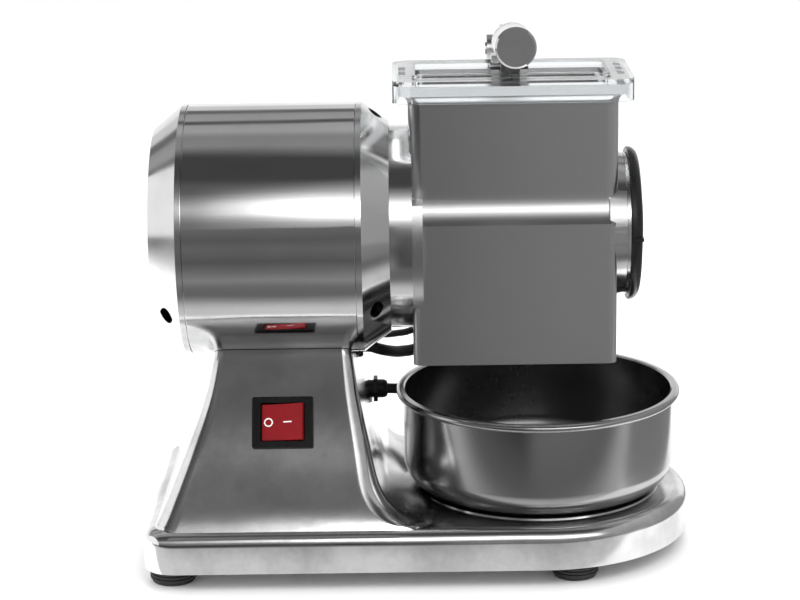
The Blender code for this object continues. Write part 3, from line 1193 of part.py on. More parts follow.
def build_switch(black_surface, red_surface):
    body = slanted_prism("switch_body", switch_outline(BEZEL_WIDTH, BEZEL_HEIGHT, BEZEL_CORNER),
                         GAP, GAP + BEZEL_THICKNESS, black_surface)
    width = WINDOW_WIDTH + 2 * SWITCH_WALL
    height = WINDOW_HEIGHT + 2 * SWITCH_WALL
    join(body, slanted_prism("barrel", switch_outline(width, height, BEZEL_CORNER),
                             -SWITCH_DEPTH, GAP + BURY))
    cut(body, slanted_prism("well", switch_outline(WINDOW_WIDTH, WINDOW_HEIGHT, BEZEL_CORNER / 2),
                            -WELL_DEPTH, BEZEL_THICKNESS + OVERRUN))
    top = GAP + BEZEL_THICKNESS
    half = ROCKER_WIDTH / 2
    lean = math.radians(ROCKER_DEGREES)
    side = [(-half, -ROCKER_SKIRT), (half, -ROCKER_SKIRT)]
    side += [(half, ROCKER_PROUD), (half / 2, ROCKER_PROUD * 2 / 3), (0, ROCKER_PROUD / 2),
             (-half / 2, ROCKER_PROUD * 2 / 3), (-half, ROCKER_PROUD)]
    turn = Matrix.Rotation(lean, 2)
    rings = []
    for up in (-ROCKER_HEIGHT / 2, ROCKER_HEIGHT / 2):
        spots = [turn @ Vector(spot) for spot in side]
        rings.append([slanted((spot.x, up, top - BEZEL_THICKNESS / 2 + spot.y))
                      for spot in spots])
    rocker = loft("rocker", rings, red_surface)
    set_origin(rocker, slanted((0, 0, top - BEZEL_THICKNESS / 2)))
    return body, rocker


def build_inside(metal_surface, cream_surface):
    base = cover_top() + GAP
    middle = SWITCH_X - WIRING_OFFSET
    rod("capacitor", CAPACITOR_RADIUS, middle - CAPACITOR_LENGTH / 2,
        middle + CAPACITOR_LENGTH / 2, "X", (0, CAPACITOR_Y, base + CAPACITOR_RADIUS),
        ROUND_MEDIUM, metal_surface)
    box("terminal_block", (middle - TERMINAL_LENGTH / 2, TERMINAL_Y - TERMINAL_DEPTH / 2, base),
        (middle + TERMINAL_LENGTH / 2, TERMINAL_Y + TERMINAL_DEPTH / 2,
         base + TERMINAL_HEIGHT), cream_surface)


def build_glands(surface):
    """Cable gland with its lock nut, and two grommets, all in the column's right side."""
    right = column_side(GLAND_BELOW_AXIS)[1]
    lean = column_side(GLAND_BELOW_AXIS + GLAND_HEX_RADIUS)[1]
    seat = max(right, lean) + GAP
    centre = (0, GLAND_Y, AXIS_Z - GLAND_BELOW_AXIS)
    bore = CORD_RADIUS + GAP
    start = seat + GLAND_HEX_LENGTH
    end = seat + GLAND_LENGTH
    inside = right - CAST_WALL - GLAND_HEX_LENGTH
    turned("cable_gland", (
        (inside, bore), (inside, GLAND_THREAD_RADIUS - GAP), (seat, GLAND_THREAD_RADIUS - GAP),
        (seat, GLAND_HEX_RADIUS), (start, GLAND_HEX_RADIUS), (start, GLAND_DOME_RADIUS),
        (end - BURY, GLAND_DOME_RADIUS), (end, CORD_RADIUS + BURY), (end, bore)), "X", centre,
        ROUND_SMALL, surface)
    for name, y, below, radius in (
            ("lead_grommet_thick", GROMMET_Y, GROMMET_BELOW_AXIS, LEAD_THICK_RADIUS),
            ("lead_grommet_thin", THIN_GROMMET_Y, THIN_GROMMET_BELOW_AXIS, LEAD_THIN_RADIUS)):
        side = max(column_side(below)[1], column_side(below + radius + GROMMET_WALL)[1]) + GAP
        tip = side + GROMMET_LENGTH / 2
        outer = radius + GROMMET_WALL
        turned(name, (
            (side - GROMMET_LENGTH, radius + GAP), (side - GROMMET_LENGTH, outer),
            (side, outer), (side, outer + GROMMET_WALL), (tip, outer + GROMMET_WALL / 2),
            (tip, radius + GAP)), "X", (0, y, AXIS_Z - below), ROUND_SMALL, surface)


def build_safety(surface):
    back = HOPPER_HALF_DEPTH + GAP
    box("safety_switch", (SAFETY_X - SAFETY_WIDTH / 2, back, AXIS_Z + SAFETY_BOTTOM),
        (SAFETY_X + SAFETY_WIDTH / 2, back + SAFETY_DEPTH, AXIS_Z + SAFETY_TOP), surface)


def smooth_route(route, step=ROUTE_STEP):
    """Evenly read points from a smooth curve through a route's own points."""
    spots = [Vector(spot) for spot in route]
    ends = [spots[0] * 2 - spots[1]] + spots + [spots[-1] * 2 - spots[-2]]
    fine = []
    for a, b, c, d in zip(ends, ends[1:], ends[2:], ends[3:]):
        fine += geometry.interpolate_bezier(b, b + (c - a) / 6, c - (d - b) / 6, c, 20)[:-1]
    fine.append(spots[-1])
    lengths = [0.0]
    for first, second in zip(fine, fine[1:]):
        lengths.append(lengths[-1] + (second - first).length)
    count = max(2, round(lengths[-1] / step))
    points = []
    for i in range(count + 1):
        want = lengths[-1] * i / count
        k = next((n for n, far in enumerate(lengths) if far >= want), len(fine) - 1)
        points.append(fine[k])
    return points, lengths[-1]


def tube(name, points, radius, surface, resolution=2):
    """Closed round tube along points, as a poly curve with filled caps."""
    curve = bpy.data.curves.new(name, "CURVE")
    curve.dimensions = "3D"
    curve.bevel_depth = radius
    curve.bevel_resolution = resolution
    curve.use_fill_caps = True
    spline = curve.splines.new("POLY")
    spline.points.add(len(points) - 1)
    for point, spot in zip(spline.points, points):
        point.co = (*spot, 1.0)
    curve.materials.append(surface)
    made = bpy.data.objects.new(name, curve)
    bpy.context.scene.collection.objects.link(made)
    return made


def coil_path():
    """Two layers: the spiral runs in below, climbs in half a turn and runs out above."""
    steps = COIL_POINTS
    total = round(2 * COIL_TURNS * steps)
    points = []
    for i in range(total + 1):
        turn = i / steps
        inward = min(turn, 2 * COIL_TURNS - turn)
        radius = COIL_OUTER - COIL_PITCH * inward
        climb = min(1, max(0, 2 * (turn - COIL_TURNS) + 1 / 2))
        height = COIL_HEIGHT + LAYER_STEP * (1 - math.cos(math.pi * climb)) / 2
        angle = math.pi - math.tau * turn
        points.append(Vector((COIL_X + radius * math.cos(angle),
                              COIL_Y + radius * math.sin(angle), height)))
    start = points[0] - Vector((0, 2 * CORD_RADIUS, 0))
    stop = points[-1] - Vector((0, 2 * CORD_RADIUS, 0))
    return [start] + points + [stop]


def report_coil(points):
    """Print the coil's length and the least gap between parts of it that aren't neighbours."""
    length = sum((b - a).length for a, b in zip(points, points[1:]))
    apart = COIL_POINTS // 3
    least = min((points[i] - points[j]).length for i in range(len(points))
                for j in range(i + apart, len(points)))
    print("coil length", round(length, 4), "least gap", round(least - 2 * CORD_RADIUS, 5))
    return length


def build_tie(surface):
    """Flat strap round the bundle of loops, at the coil's far side."""
    near = COIL_OUTER + CORD_RADIUS + TIE_GAP
    far = COIL_OUTER - COIL_PITCH * COIL_TURNS - CORD_RADIUS - TIE_GAP - TIE_THICKNESS
    low = COIL_HEIGHT - CORD_RADIUS - TIE_GAP
    high = COIL_HEIGHT + LAYER_STEP + CORD_RADIUS + TIE_GAP
    wall = TIE_THICKNESS
    outer = rounded_rectangle(COIL_Y + far - wall, COIL_Y + near + wall, low - wall, high + wall,
                              CORD_RADIUS, 3)
    inner = rounded_rectangle(COIL_Y + far, COIL_Y + near, low, high, CORD_RADIUS - wall, 3)
    left = COIL_X - TIE_WIDTH / 2
    right = COIL_X + TIE_WIDTH / 2
    tie = prism("coil_tie", outer, left, right, "X", surface)
    cut(tie, prism("inside", inner, left - OVERRUN, right + OVERRUN, "X"))
    return tie


def build_plug(surface):
    """Straight two-pin plug lying on the counter."""
    start = TAIL_ROUTE[-1][0] - GAP
    centre = (0, TAIL_ROUTE[-1][1], TAIL_ROUTE[-1][2])
    body = start - PLUG_SLEEVE_LENGTH
    front = body - PLUG_LENGTH
    plug = turned("plug", (
        (start, 0), (start, PLUG_SLEEVE_RADIUS - BURY), (body, PLUG_SLEEVE_RADIUS),
        (body - PLUG_LENGTH / 4, PLUG_RADIUS * 4 / 5), (front + PLUG_LENGTH / 3, PLUG_RADIUS),
        (front, PLUG_RADIUS), (front, 0)), "X", centre, ROUND_MEDIUM, surface)
    for side in (-1, 1):
        y = centre[1] + side * PLUG_PIN_SPACING / 2
        join(plug, rod("pin", PLUG_PIN_RADIUS, front - PLUG_PIN_LENGTH, front + BURY, "X",
                       (0, y, centre[2]), ROUND_SMALL))
    return plug


def lead_route(shares, y, below, aside):
    """From a grommet in the column round the chute to the safety switch's underside."""
    side = column_side(below)[1]
    start = Vector((side + GROMMET_LENGTH / 2, y, AXIS_Z - below))
    end = Vector((SAFETY_X + aside, HOPPER_HALF_DEPTH + GAP + SAFETY_DEPTH / 2,
                  AXIS_Z + SAFETY_BOTTOM - GAP))
    route = [start - Vector((GROMMET_LENGTH, 0, 0)), start,
             start + Vector((GROMMET_LENGTH / 2, 0, 0)), start + Vector((GROMMET_LENGTH, 0, 0))]
    for along, out, up in shares:
        route.append(Vector((start.x + (end.x - start.x) * along, CHUTE_HALF_DEPTH * out,
                             start.z + (end.z - start.z) * up)))
    route.append(end - Vector((0, 0, 2 * LEAD_THICK_RADIUS)))
    route.append(end)
    return route


def build_cords(surface):
    thick = lead_route(THICK_LEAD_SHARES, GROMMET_Y, GROMMET_BELOW_AXIS, -LEAD_SPACING)
    thin = lead_route(THIN_LEAD_SHARES, THIN_GROMMET_Y, THIN_GROMMET_BELOW_AXIS, LEAD_SPACING)
    tube("switch_lead_thick", smooth_route(thick)[0], LEAD_THICK_RADIUS, surface)
    tube("switch_lead_thin", smooth_route(thin)[0], LEAD_THIN_RADIUS, surface)
    lead, lead_length = smooth_route(LEAD_ROUTE)
    tail, tail_length = smooth_route(TAIL_ROUTE)
    coil = coil_path()
    tube("mains_lead", lead, CORD_RADIUS, surface)
    tube("mains_coil", coil, CORD_RADIUS, surface, 1)
    tube("mains_tail", tail, CORD_RADIUS, surface)
    print("mains cord length", round(lead_length + report_coil(coil) + tail_length, 3))


def main():
    clear_scene()
    cast = polished("cast_aluminium")
    bright = steel("polished_steel")
    dark = black("black_plastic")
    rubber = black("rubber")
    brass = material("brass", (0.72, 0.55, 0.28), 0.35, 1.0)
    build_base(cast)
    build_cover(steel("cover_steel"))
    build_feet(rubber, steel("screw_steel"))
    build_caps(polished("cap_aluminium"))
    build_motor(bright, steel("core_steel"), material("copper", (0.6, 0.3, 0.15), 0.4, 1.0),
                steel("bearing_steel"), dark)
    build_inside(polished("can_aluminium"), material("cream_plastic", (0.8, 0.76, 0.66), 0.5))
    build_switch(dark, material("red_plastic", (0.42, 0.02, 0.03), 0.35))
    build_housing(polished("housing_aluminium"))
    build_neck(bright, rubber)
    build_guard(material("clear_plastic", (0.9, 0.92, 0.93), 0.1, 0.0, 0.4))
    build_spindle(steel("shaft_steel"), steel("drum_steel"), polished("hub_aluminium"))
    build_end_cover(polished("cover_aluminium"), brass)
    build_knob(dark)
    arm, _ = build_lever(polished("arm_aluminium"), bright)
    set_origin(arm, (LEVER_X, HINGE_Y, AXIS_Z + HINGE_Z))
    build_presser(polished("presser_aluminium"), bright)
    build_bowl(steel("bowl_steel"))
    build_glands(dark)
    build_safety(dark)
    build_cords(dark)
    build_tie(dark)
    build_plug(dark)


main()
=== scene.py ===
"""Looks of the electric cheese grater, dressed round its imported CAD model.

Lengths are in metres, +Z is up, +X runs from the motor to the grating end, the user stands at -Y.
The visible shells repeat the CAD sizes with finer facets; heights of the motor, housing and lever
are given from the motor axis.
"""
import math

import bmesh
import bpy
from mathutils import Matrix, Vector, geometry


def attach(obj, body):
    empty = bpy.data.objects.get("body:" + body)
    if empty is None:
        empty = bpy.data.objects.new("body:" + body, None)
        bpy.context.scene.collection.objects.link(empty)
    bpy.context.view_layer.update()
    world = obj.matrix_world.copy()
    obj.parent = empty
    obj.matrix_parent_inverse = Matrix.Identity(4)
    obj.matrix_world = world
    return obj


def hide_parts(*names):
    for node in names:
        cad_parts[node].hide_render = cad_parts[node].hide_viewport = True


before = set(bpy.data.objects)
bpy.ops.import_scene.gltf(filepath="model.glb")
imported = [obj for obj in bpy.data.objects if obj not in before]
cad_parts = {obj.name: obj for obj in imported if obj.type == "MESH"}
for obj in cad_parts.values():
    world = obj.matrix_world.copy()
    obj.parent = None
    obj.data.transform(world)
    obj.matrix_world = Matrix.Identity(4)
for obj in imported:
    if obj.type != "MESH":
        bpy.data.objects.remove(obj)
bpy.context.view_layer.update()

# Fits shared by all pieces
GAP = 0.0003
RUNNING_GAP = 0.0008
OVERRUN = 0.004
BURY = 0.001

# Base casting
BASE_DEPTH = 0.197
SKIRT_BOTTOM = 0.0125
SKIRT_HEIGHT = 0.0263
BASE_TOP = SKIRT_BOTTOM + SKIRT_HEIGHT
BASE_EDGE_ROUND = 0.009
BASE_CORNER = 0.020
CAST_WALL = 0.0045

# Bowl on its seat
BOWL_RADIUS = 0.0876
BOWL_RIM_WIDTH = 0.0046
BOWL_HEIGHT = 0.0645
BOWL_WALL = 0.0010
BOWL_CORNER = 0.017
BOWL_BEAD = 0.0024
BOWL_RIM_RADIUS = BOWL_RADIUS + BOWL_RIM_WIDTH
SEAT_HEIGHT = 0.0007
SEAT_RADIUS = BOWL_RADIUS - BOWL_CORNER / 2
BOWL_BOTTOM = BASE_TOP + SEAT_HEIGHT + GAP
BOWL_TOP = BOWL_BOTTOM + BOWL_HEIGHT
BOWL_OFFSET = 0.01665

# Motor axis over the chute and the bowl
CHUTE_CLEARANCE = 0.0272
CHUTE_DROP = 0.080
CHUTE_BOTTOM = -CHUTE_DROP
AXIS_Z = BOWL_TOP + CHUTE_CLEARANCE + CHUTE_DROP

# Lengths along the machine, from the base's left end to the bowl's middle
MOTOR_INSET = 0.0306
TUBE_LENGTH = 0.10625
FRONT_CAP_LENGTH = 0.02085
NECK_LENGTH = 0.0138
HOPPER_OVERLAP = 0.0018
HOPPER_LENGTH = 0.1309
HOPPER_START = (MOTOR_INSET + TUBE_LENGTH + FRONT_CAP_LENGTH + GAP + NECK_LENGTH
                - HOPPER_OVERLAP)
BASE_LENGTH = HOPPER_START + HOPPER_LENGTH / 2 + BOWL_OFFSET + BASE_DEPTH / 2
BASE_LEFT_X = -BASE_LENGTH / 2
BOWL_X = BASE_LENGTH / 2 - BASE_DEPTH / 2

# Motor
TUBE_RADIUS = 0.080
TUBE_WALL = 0.0014
TUBE_LEFT_X = BASE_LEFT_X + MOTOR_INSET
TUBE_RIGHT_X = TUBE_LEFT_X + TUBE_LENGTH
CAP_BAND = 0.0035
CAP_WALL = 0.0048
CAP_SPIGOT = 0.005
FRONT_CAP_X = TUBE_RIGHT_X + FRONT_CAP_LENGTH
FRONT_CAP_DROP = 0.0126
FRONT_CAP_RADIUS = TUBE_RADIUS - FRONT_CAP_DROP
REAR_CAP_LENGTH = 0.0216
REAR_CAP_X = TUBE_LEFT_X - REAR_CAP_LENGTH
REAR_CAP_DROP = 0.0145
REAR_CAP_RADIUS = TUBE_RADIUS - REAR_CAP_DROP
REAR_DOME = 0.0055
REAR_DISC_RADIUS = 0.026
REAR_DISC_THICKNESS = 0.0016
SHAFT_RADIUS = 0.0085
BEARING_RING = 0.009
BEARING_RADIUS = SHAFT_RADIUS + BEARING_RING
BEARING_WIDTH = 0.012
HUB_WALL = 0.0065
HUB_RADIUS = BEARING_RADIUS + HUB_WALL
VENT_FRONT_DEGREES = (90.0, -32.0, 212.0)
VENT_REAR_DEGREES = (-35.0, 215.0)

# Column casting, from under the motor tube down to the base
COLUMN_COVERED = 0.020
COLUMN_TOP_BELOW_AXIS = TUBE_RADIUS - COLUMN_COVERED
COLUMN_SUNK = 0.0043
COLUMN_FOOT_BELOW_AXIS = AXIS_Z - BASE_TOP + COLUMN_SUNK
COLUMN_LEFT_INSET = 0.0167
COLUMN_RIGHT_INSET = 0.00675
COLUMN_LEFT_X = TUBE_LEFT_X + COLUMN_LEFT_INSET
COLUMN_RIGHT_X = TUBE_RIGHT_X - COLUMN_RIGHT_INSET
COLUMN_FOOT_INSET_X = 0.0063
COLUMN_FOOT_INSET_Y = 0.0036
COLUMN_LEFT_FLARE = COLUMN_LEFT_X - BASE_LEFT_X - COLUMN_FOOT_INSET_X
COLUMN_RIGHT_FLARE = 0.0552
COLUMN_TOP_HALF_DEPTH = 0.0327
COLUMN_SLANT = ((BASE_DEPTH / 2 - COLUMN_FOOT_INSET_Y - COLUMN_TOP_HALF_DEPTH)
                / (COLUMN_FOOT_BELOW_AXIS - COLUMN_TOP_BELOW_AXIS))
COLUMN_TOP_CORNER = 0.006
COLUMN_FOOT_CORNER = 0.015
COLUMN_ROOF = 0.010
COLUMN_VOID_BELOW_AXIS = TUBE_RADIUS + COLUMN_ROOF
# Shares of the column's height, of its left flare and of its right flare, from the top down
COLUMN_SIDE_SHARES = (
    (0.0, 0.0, 0.0), (0.158, 0.080, 0.054), (0.311, 0.183, 0.109), (0.442, 0.312, 0.170),
    (0.603, 0.502, 0.246), (0.752, 0.688, 0.322), (0.842, 0.805, 0.417), (0.902, 0.885, 0.547),
    (0.940, 0.939, 0.728), (0.959, 0.966, 0.928), (1.0, 1.0, 1.0))
WIRE_HOLE_RADIUS = 0.009
WIRE_HOLE_OFFSET = 0.0166

# Cover plate, feet and their screws
COVER_RECESS = 0.0025
COVER_THICKNESS = 0.002
SCREW_RADIUS = 0.0024
SCREW_HEAD_OVERHANG = 0.0028
SCREW_HEAD_RADIUS = SCREW_RADIUS + SCREW_HEAD_OVERHANG
SCREW_LENGTH = 0.022
FOOT_INSET_LEFT = 0.0173
FOOT_OFFSET_RIGHT = 0.0199
FOOT_INSET_Y = 0.0265
FOOT_LEFT_X = BASE_LEFT_X + FOOT_INSET_LEFT
FOOT_RIGHT_X = BOWL_X + FOOT_OFFSET_RIGHT
FOOT_Y = BASE_DEPTH / 2 - FOOT_INSET_Y
FOOT_RADIUS = 0.0148
FOOT_SOLE_DRAFT = 0.0016
FOOT_TOP_DRAFT = 0.0043
FOOT_RECESS_RADIUS = SCREW_HEAD_RADIUS + RUNNING_GAP
FOOT_RECESS_DEPTH = 0.006
BOSS_WALL = 0.0056
BOSS_RADIUS = SCREW_RADIUS + BOSS_WALL

# Rocker switch
SWITCH_X = (COLUMN_LEFT_X + COLUMN_RIGHT_X) / 2
SWITCH_HEIGHT_SHARE = 0.447
SWITCH_BELOW_AXIS = (COLUMN_TOP_BELOW_AXIS
                     + (COLUMN_FOOT_BELOW_AXIS - COLUMN_TOP_BELOW_AXIS) * SWITCH_HEIGHT_SHARE)
WINDOW_WIDTH = 0.0278
WINDOW_HEIGHT = 0.0246
BEZEL_SIDE = 0.0055
BEZEL_END = 0.0040
BEZEL_WIDTH = WINDOW_WIDTH + 2 * BEZEL_SIDE
BEZEL_HEIGHT = WINDOW_HEIGHT + 2 * BEZEL_END
BEZEL_THICKNESS = 0.0030
BEZEL_CORNER = 0.0015
SWITCH_WALL = 0.0015
SWITCH_DEPTH = 0.020
WELL_DEPTH = 0.0085
ROCKER_FIT_X = 0.00055
ROCKER_FIT_Z = 0.00045
ROCKER_WIDTH = WINDOW_WIDTH - 2 * ROCKER_FIT_X
ROCKER_HEIGHT = WINDOW_HEIGHT - 2 * ROCKER_FIT_Z
ROCKER_PROUD = 0.0024
ROCKER_SKIRT = 0.0030
ROCKER_DEGREES = 11.0

# Grating drum on the shaft
DRUM_RADIUS = 0.0395
DRUM_WALL = 0.0016
JOURNAL_STEP = 0.0025
JOURNAL_RADIUS = SHAFT_RADIUS - JOURNAL_STEP

# Grating housing: hopper, chute, neck ring and end ring
HOPPER_LEFT_X = BASE_LEFT_X + HOPPER_START
HOPPER_RIGHT_X = HOPPER_LEFT_X + HOPPER_LENGTH
CHUTE_INSET_LEFT = 0.0015
CHUTE_INSET_RIGHT = 0.0011
CHUTE_LEFT_X = HOPPER_LEFT_X + CHUTE_INSET_LEFT
CHUTE_RIGHT_X = HOPPER_RIGHT_X - CHUTE_INSET_RIGHT
HOUSING_WALL = 0.004
CHUTE_ROOM = 0.004
CHUTE_HALF_DEPTH = DRUM_RADIUS + CHUTE_ROOM + HOUSING_WALL
SHOULDER_DEPTH = 0.0075
HOPPER_HALF_DEPTH = CHUTE_HALF_DEPTH - SHOULDER_DEPTH
HOPPER_CORNER = 0.008
CHUTE_CORNER = 0.0054
FLANGE_OVERHANG = 0.0062
FLANGE_OVERHANG_Y = 0.0014
FLANGE_HALF_DEPTH = HOPPER_HALF_DEPTH + FLANGE_OVERHANG_Y
FLANGE_TOP = 0.0964
FLANGE_HEIGHT = 0.0059
FLARE_HEIGHT = 0.0065
FLANGE_FOOT = FLANGE_TOP - FLANGE_HEIGHT
FLARE_FOOT = FLANGE_FOOT - FLARE_HEIGHT
SHOULDER_TOP = 0.030
SHOULDER_HEIGHT = 0.020
SHOULDER_FOOT = SHOULDER_TOP - SHOULDER_HEIGHT
NECK_INSET = 0.0024
NECK_RADIUS = FRONT_CAP_RADIUS - NECK_INSET
NECK_WALL = 0.005
NECK_LEFT_X = FRONT_CAP_X + GAP
NECK_RIGHT_X = NECK_LEFT_X + NECK_LENGTH
NECK_SPIGOT_RADIUS = NECK_RADIUS - NECK_WALL
NECK_SPIGOT_LENGTH = 0.005
CHEEK_WIDTH = 0.0065
CHEEK_RIGHT_X = NECK_RIGHT_X + CHEEK_WIDTH
CHEEK_TOP = 0.026
CHEEK_BOTTOM = -0.042
DRUM_BORE_GAP = 0.003
DRUM_BORE_RADIUS = DRUM_RADIUS + DRUM_BORE_GAP
END_RING_WALL = 0.0045
END_RING_DRAFT = 0.0015
END_RING_RADIUS = DRUM_BORE_RADIUS + END_RING_WALL
END_RING_TIP_RADIUS = END_RING_RADIUS - END_RING_DRAFT
END_RING_SUNK = 0.0056
END_RING_PROUD = 0.0054
END_RING_LEFT_X = HOPPER_RIGHT_X - END_RING_SUNK
END_RING_RIGHT_X = HOPPER_RIGHT_X + END_RING_PROUD
NECK_SCREW_RADIUS = 0.003
NECK_SCREW_DEGREES = (68.0, 248.0)
NECK_SCREW_X = NECK_LEFT_X + NECK_SPIGOT_LENGTH * 14 / 25
SEAL_WALL = 0.0055
SEAL_RADIUS = SHAFT_RADIUS + SEAL_WALL
DRUM_END_GAP_LEFT = 0.0043
DRUM_END_GAP_RIGHT = 0.008
DRUM_LEFT_X = CHUTE_LEFT_X + HOUSING_WALL + DRUM_END_GAP_LEFT
DRUM_RIGHT_X = END_RING_LEFT_X - DRUM_END_GAP_RIGHT
JOURNAL_INSET = 0.0045
JOURNAL_RIGHT_X = END_RING_RIGHT_X - JOURNAL_INSET

# End cover, bush and knob
COVER_SPIGOT_INSET = 0.0005
COVER_SPIGOT_LEFT_X = END_RING_LEFT_X + COVER_SPIGOT_INSET
BUSH_WALL = 0.0035
BUSH_RADIUS = JOURNAL_RADIUS + BUSH_WALL
STUD_RADIUS = 0.006
STUD_LENGTH = 0.006
COVER_RIM_WIDTH = 0.0025
KNOB_OVERHANG = 0.0021
KNOB_RADIUS = END_RING_RADIUS + KNOB_OVERHANG
KNOB_RIM_X = END_RING_RIGHT_X + COVER_RIM_WIDTH
KNOB_THICKNESS = 0.0093
KNOB_FACE_X = KNOB_RIM_X + KNOB_THICKNESS
KNOB_EDGE_ROUND = 0.006
KNOB_NUB = 0.0022

# Guard on the hopper
GUARD_WALL = 0.0025
GUARD_FIT_X = 0.0008
GUARD_FIT_Y = 0.0004
GUARD_ROOF = 0.0034
GUARD_LEFT_X = HOPPER_LEFT_X - FLANGE_OVERHANG - GUARD_FIT_X - GUARD_WALL
GUARD_RIGHT_X = HOPPER_RIGHT_X + FLANGE_OVERHANG + GUARD_FIT_X + GUARD_WALL
GUARD_HALF_DEPTH = FLANGE_HALF_DEPTH + GUARD_FIT_Y + GUARD_WALL
GUARD_TOP = FLANGE_TOP + GAP + GUARD_ROOF
GUARD_HEIGHT = 0.0140
GUARD_CORNER = 0.010
MOUTH_INSET_LEFT = 0.0050
MOUTH_INSET_RIGHT = 0.0069
MOUTH_INSET_Y = 0.013
MOUTH_LEFT_X = HOPPER_LEFT_X + MOUTH_INSET_LEFT
MOUTH_RIGHT_X = HOPPER_RIGHT_X - MOUTH_INSET_RIGHT
MOUTH_HALF_DEPTH = HOPPER_HALF_DEPTH - MOUTH_INSET_Y
MOUTH_LIP = 0.0014
MOUTH_LIP_WIDTH = 0.0022
MOUTH_CORNER = 0.003

# Lever hinge ears on the back of the hopper
HINGE_BEHIND = 0.020
HINGE_ABOVE_FLANGE = 0.0086
HINGE_Y = HOPPER_HALF_DEPTH + HINGE_BEHIND
HINGE_Z = FLANGE_TOP + HINGE_ABOVE_FLANGE
LEVER_X = (MOUTH_LEFT_X + MOUTH_RIGHT_X) / 2
PIN_RADIUS = 0.004
EAR_WALL = 0.005
EAR_RADIUS = PIN_RADIUS + EAR_WALL
EAR_THICKNESS = 0.0055
EAR_DROP = 0.057
EAR_FOOT = HINGE_Z - EAR_DROP
ARM_THICKNESS = 0.012

# Lever, presser and grip
PRESSER_SIDE_GAP = 0.0014
PRESSER_SUNK = 0.0019
PRESSER_TOP = FLANGE_TOP - PRESSER_SUNK
PRESSER_WALL = 0.003
PRESSER_FRONT_GAP = 0.0009
PRESSER_BACK_GAP = 0.0035
DRUM_CLEARANCE = 0.0022
LUG_THICKNESS = 0.005
PRESSER_PIN_RADIUS = 0.0025
PRESSER_PIN_DROP = 0.0025
PRESSER_PIN_Z = HINGE_Z - PRESSER_PIN_DROP
LUG_RISE = 0.007
LUG_TOP = PRESSER_PIN_Z + LUG_RISE
LUG_HALF_DEPTH = 0.010
STUD_ROD_RADIUS = 0.004
GRIP_WALL = 0.00835
GRIP_RADIUS = STUD_ROD_RADIUS + GRIP_WALL
GRIP_CHAMFER = 0.00115
GRIP_FACE_RADIUS = GRIP_RADIUS - GRIP_CHAMFER
GRIP_LENGTH = 0.060
GRIP_REACH = 0.057
GRIP_RISE = 0.0232
GRIP_FRONT_Y = -HOPPER_HALF_DEPTH - GRIP_REACH
GRIP_FRONT_Z = HINGE_Z + GRIP_RISE
GRIP_DEGREES = 5.0
GRIP_BORE_DEPTH = GRIP_LENGTH / 2

# Safety switch and its leads, and the mains gland
SAFETY_OFFSET = 0.0262
SAFETY_X = LEVER_X - SAFETY_OFFSET
SAFETY_WIDTH = 0.024
SAFETY_DEPTH = 0.015
SAFETY_DROP = 0.0184
SAFETY_HEIGHT = 0.036
SAFETY_TOP = FLANGE_TOP - SAFETY_DROP
SAFETY_BOTTOM = SAFETY_TOP - SAFETY_HEIGHT
LEAD_THICK_RADIUS = 0.0038
LEAD_THIN_RADIUS = 0.0023
GROMMET_WALL = 0.0016
GROMMET_LENGTH = 0.0060
GROMMET_Y = 0.018
GROMMET_DROP = 0.0050
GROMMET_BELOW_AXIS = TUBE_RADIUS + GROMMET_DROP
THIN_GROMMET_Y = 0.031
THIN_GROMMET_BELOW_AXIS = TUBE_RADIUS
CORD_RADIUS = 0.0035
GLAND_Y = 0.046
GLAND_DROP = 0.0425
GLAND_BELOW_AXIS = TUBE_RADIUS + GLAND_DROP
GLAND_WALL = 0.0027
GLAND_THREAD_RADIUS = CORD_RADIUS + GLAND_WALL
GLAND_HEX_OVERHANG = 0.0028
GLAND_HEX_RADIUS = GLAND_THREAD_RADIUS + GLAND_HEX_OVERHANG
GLAND_HEX_LENGTH = 0.0060
GLAND_DOME_OVERHANG = 0.0016
GLAND_DOME_RADIUS = GLAND_THREAD_RADIUS + GLAND_DOME_OVERHANG
GLAND_LENGTH = 0.0130

# Routes of the two leads round the chute: share of the way along X, Y as a share of the
# chute's half depth, and share of the rise
THICK_LEAD_SHARES = (
    (0.215, 0.470, -0.030), (0.391, 0.900, -0.085), (0.600, 1.220, -0.085), (0.842, 1.295, 0.071),
    (0.962, 1.263, 0.355), (1.0, 1.200, 0.655), (1.0, 1.053, 0.868))
THIN_LEAD_SHARES = (
    (0.175, 0.750, -0.015), (0.290, 1.060, -0.045), (0.474, 1.370, -0.049), (0.737, 1.453, 0.082),
    (0.934, 1.432, 0.345), (1.0, 1.305, 0.657), (1.0, 1.074, 0.871))
LEAD_SPACING = 0.0047

# Free mains lead: X, Y and height above the counter
LEAD_ROUTE = (
    (-0.0300, 0.0460, 0.0890), (-0.0200, 0.0460, 0.0890), (-0.0120, 0.0462, 0.0891),
    (-0.0030, 0.0520, 0.0930),
    (0.0070, 0.0680, 0.0970), (0.0120, 0.0860, 0.0920), (0.0120, 0.1030, 0.0700),
    (0.0070, 0.1160, 0.0400), (0.0000, 0.1290, 0.0140), (-0.0020, 0.1430, 0.0063),
    (0.0030, 0.1600, 0.0055), (0.0110, 0.1760, 0.0055), (0.0140, 0.1880, 0.0055),
    (0.0140, 0.1977, 0.0055))
COIL_X = 0.064
COIL_Y = 0.205
COIL_OUTER = 0.050
COIL_PITCH = 0.0082
COIL_TURNS = 2.75
LAYER_STEP = 0.0078
COIL_HEIGHT = 0.0055
COIL_POINTS = 24
TAIL_ROUTE = (
    (0.1140, 0.1977, 0.0133), (0.1140, 0.1880, 0.0133), (0.1155, 0.1720, 0.0110),
    (0.1160, 0.1550, 0.0110), (0.1120, 0.1390, 0.0140), (0.1040, 0.1300, 0.0160),
    (0.0970, 0.1275, 0.0165), (0.0877, 0.1275, 0.0165))
TIE_THICKNESS = 0.0012
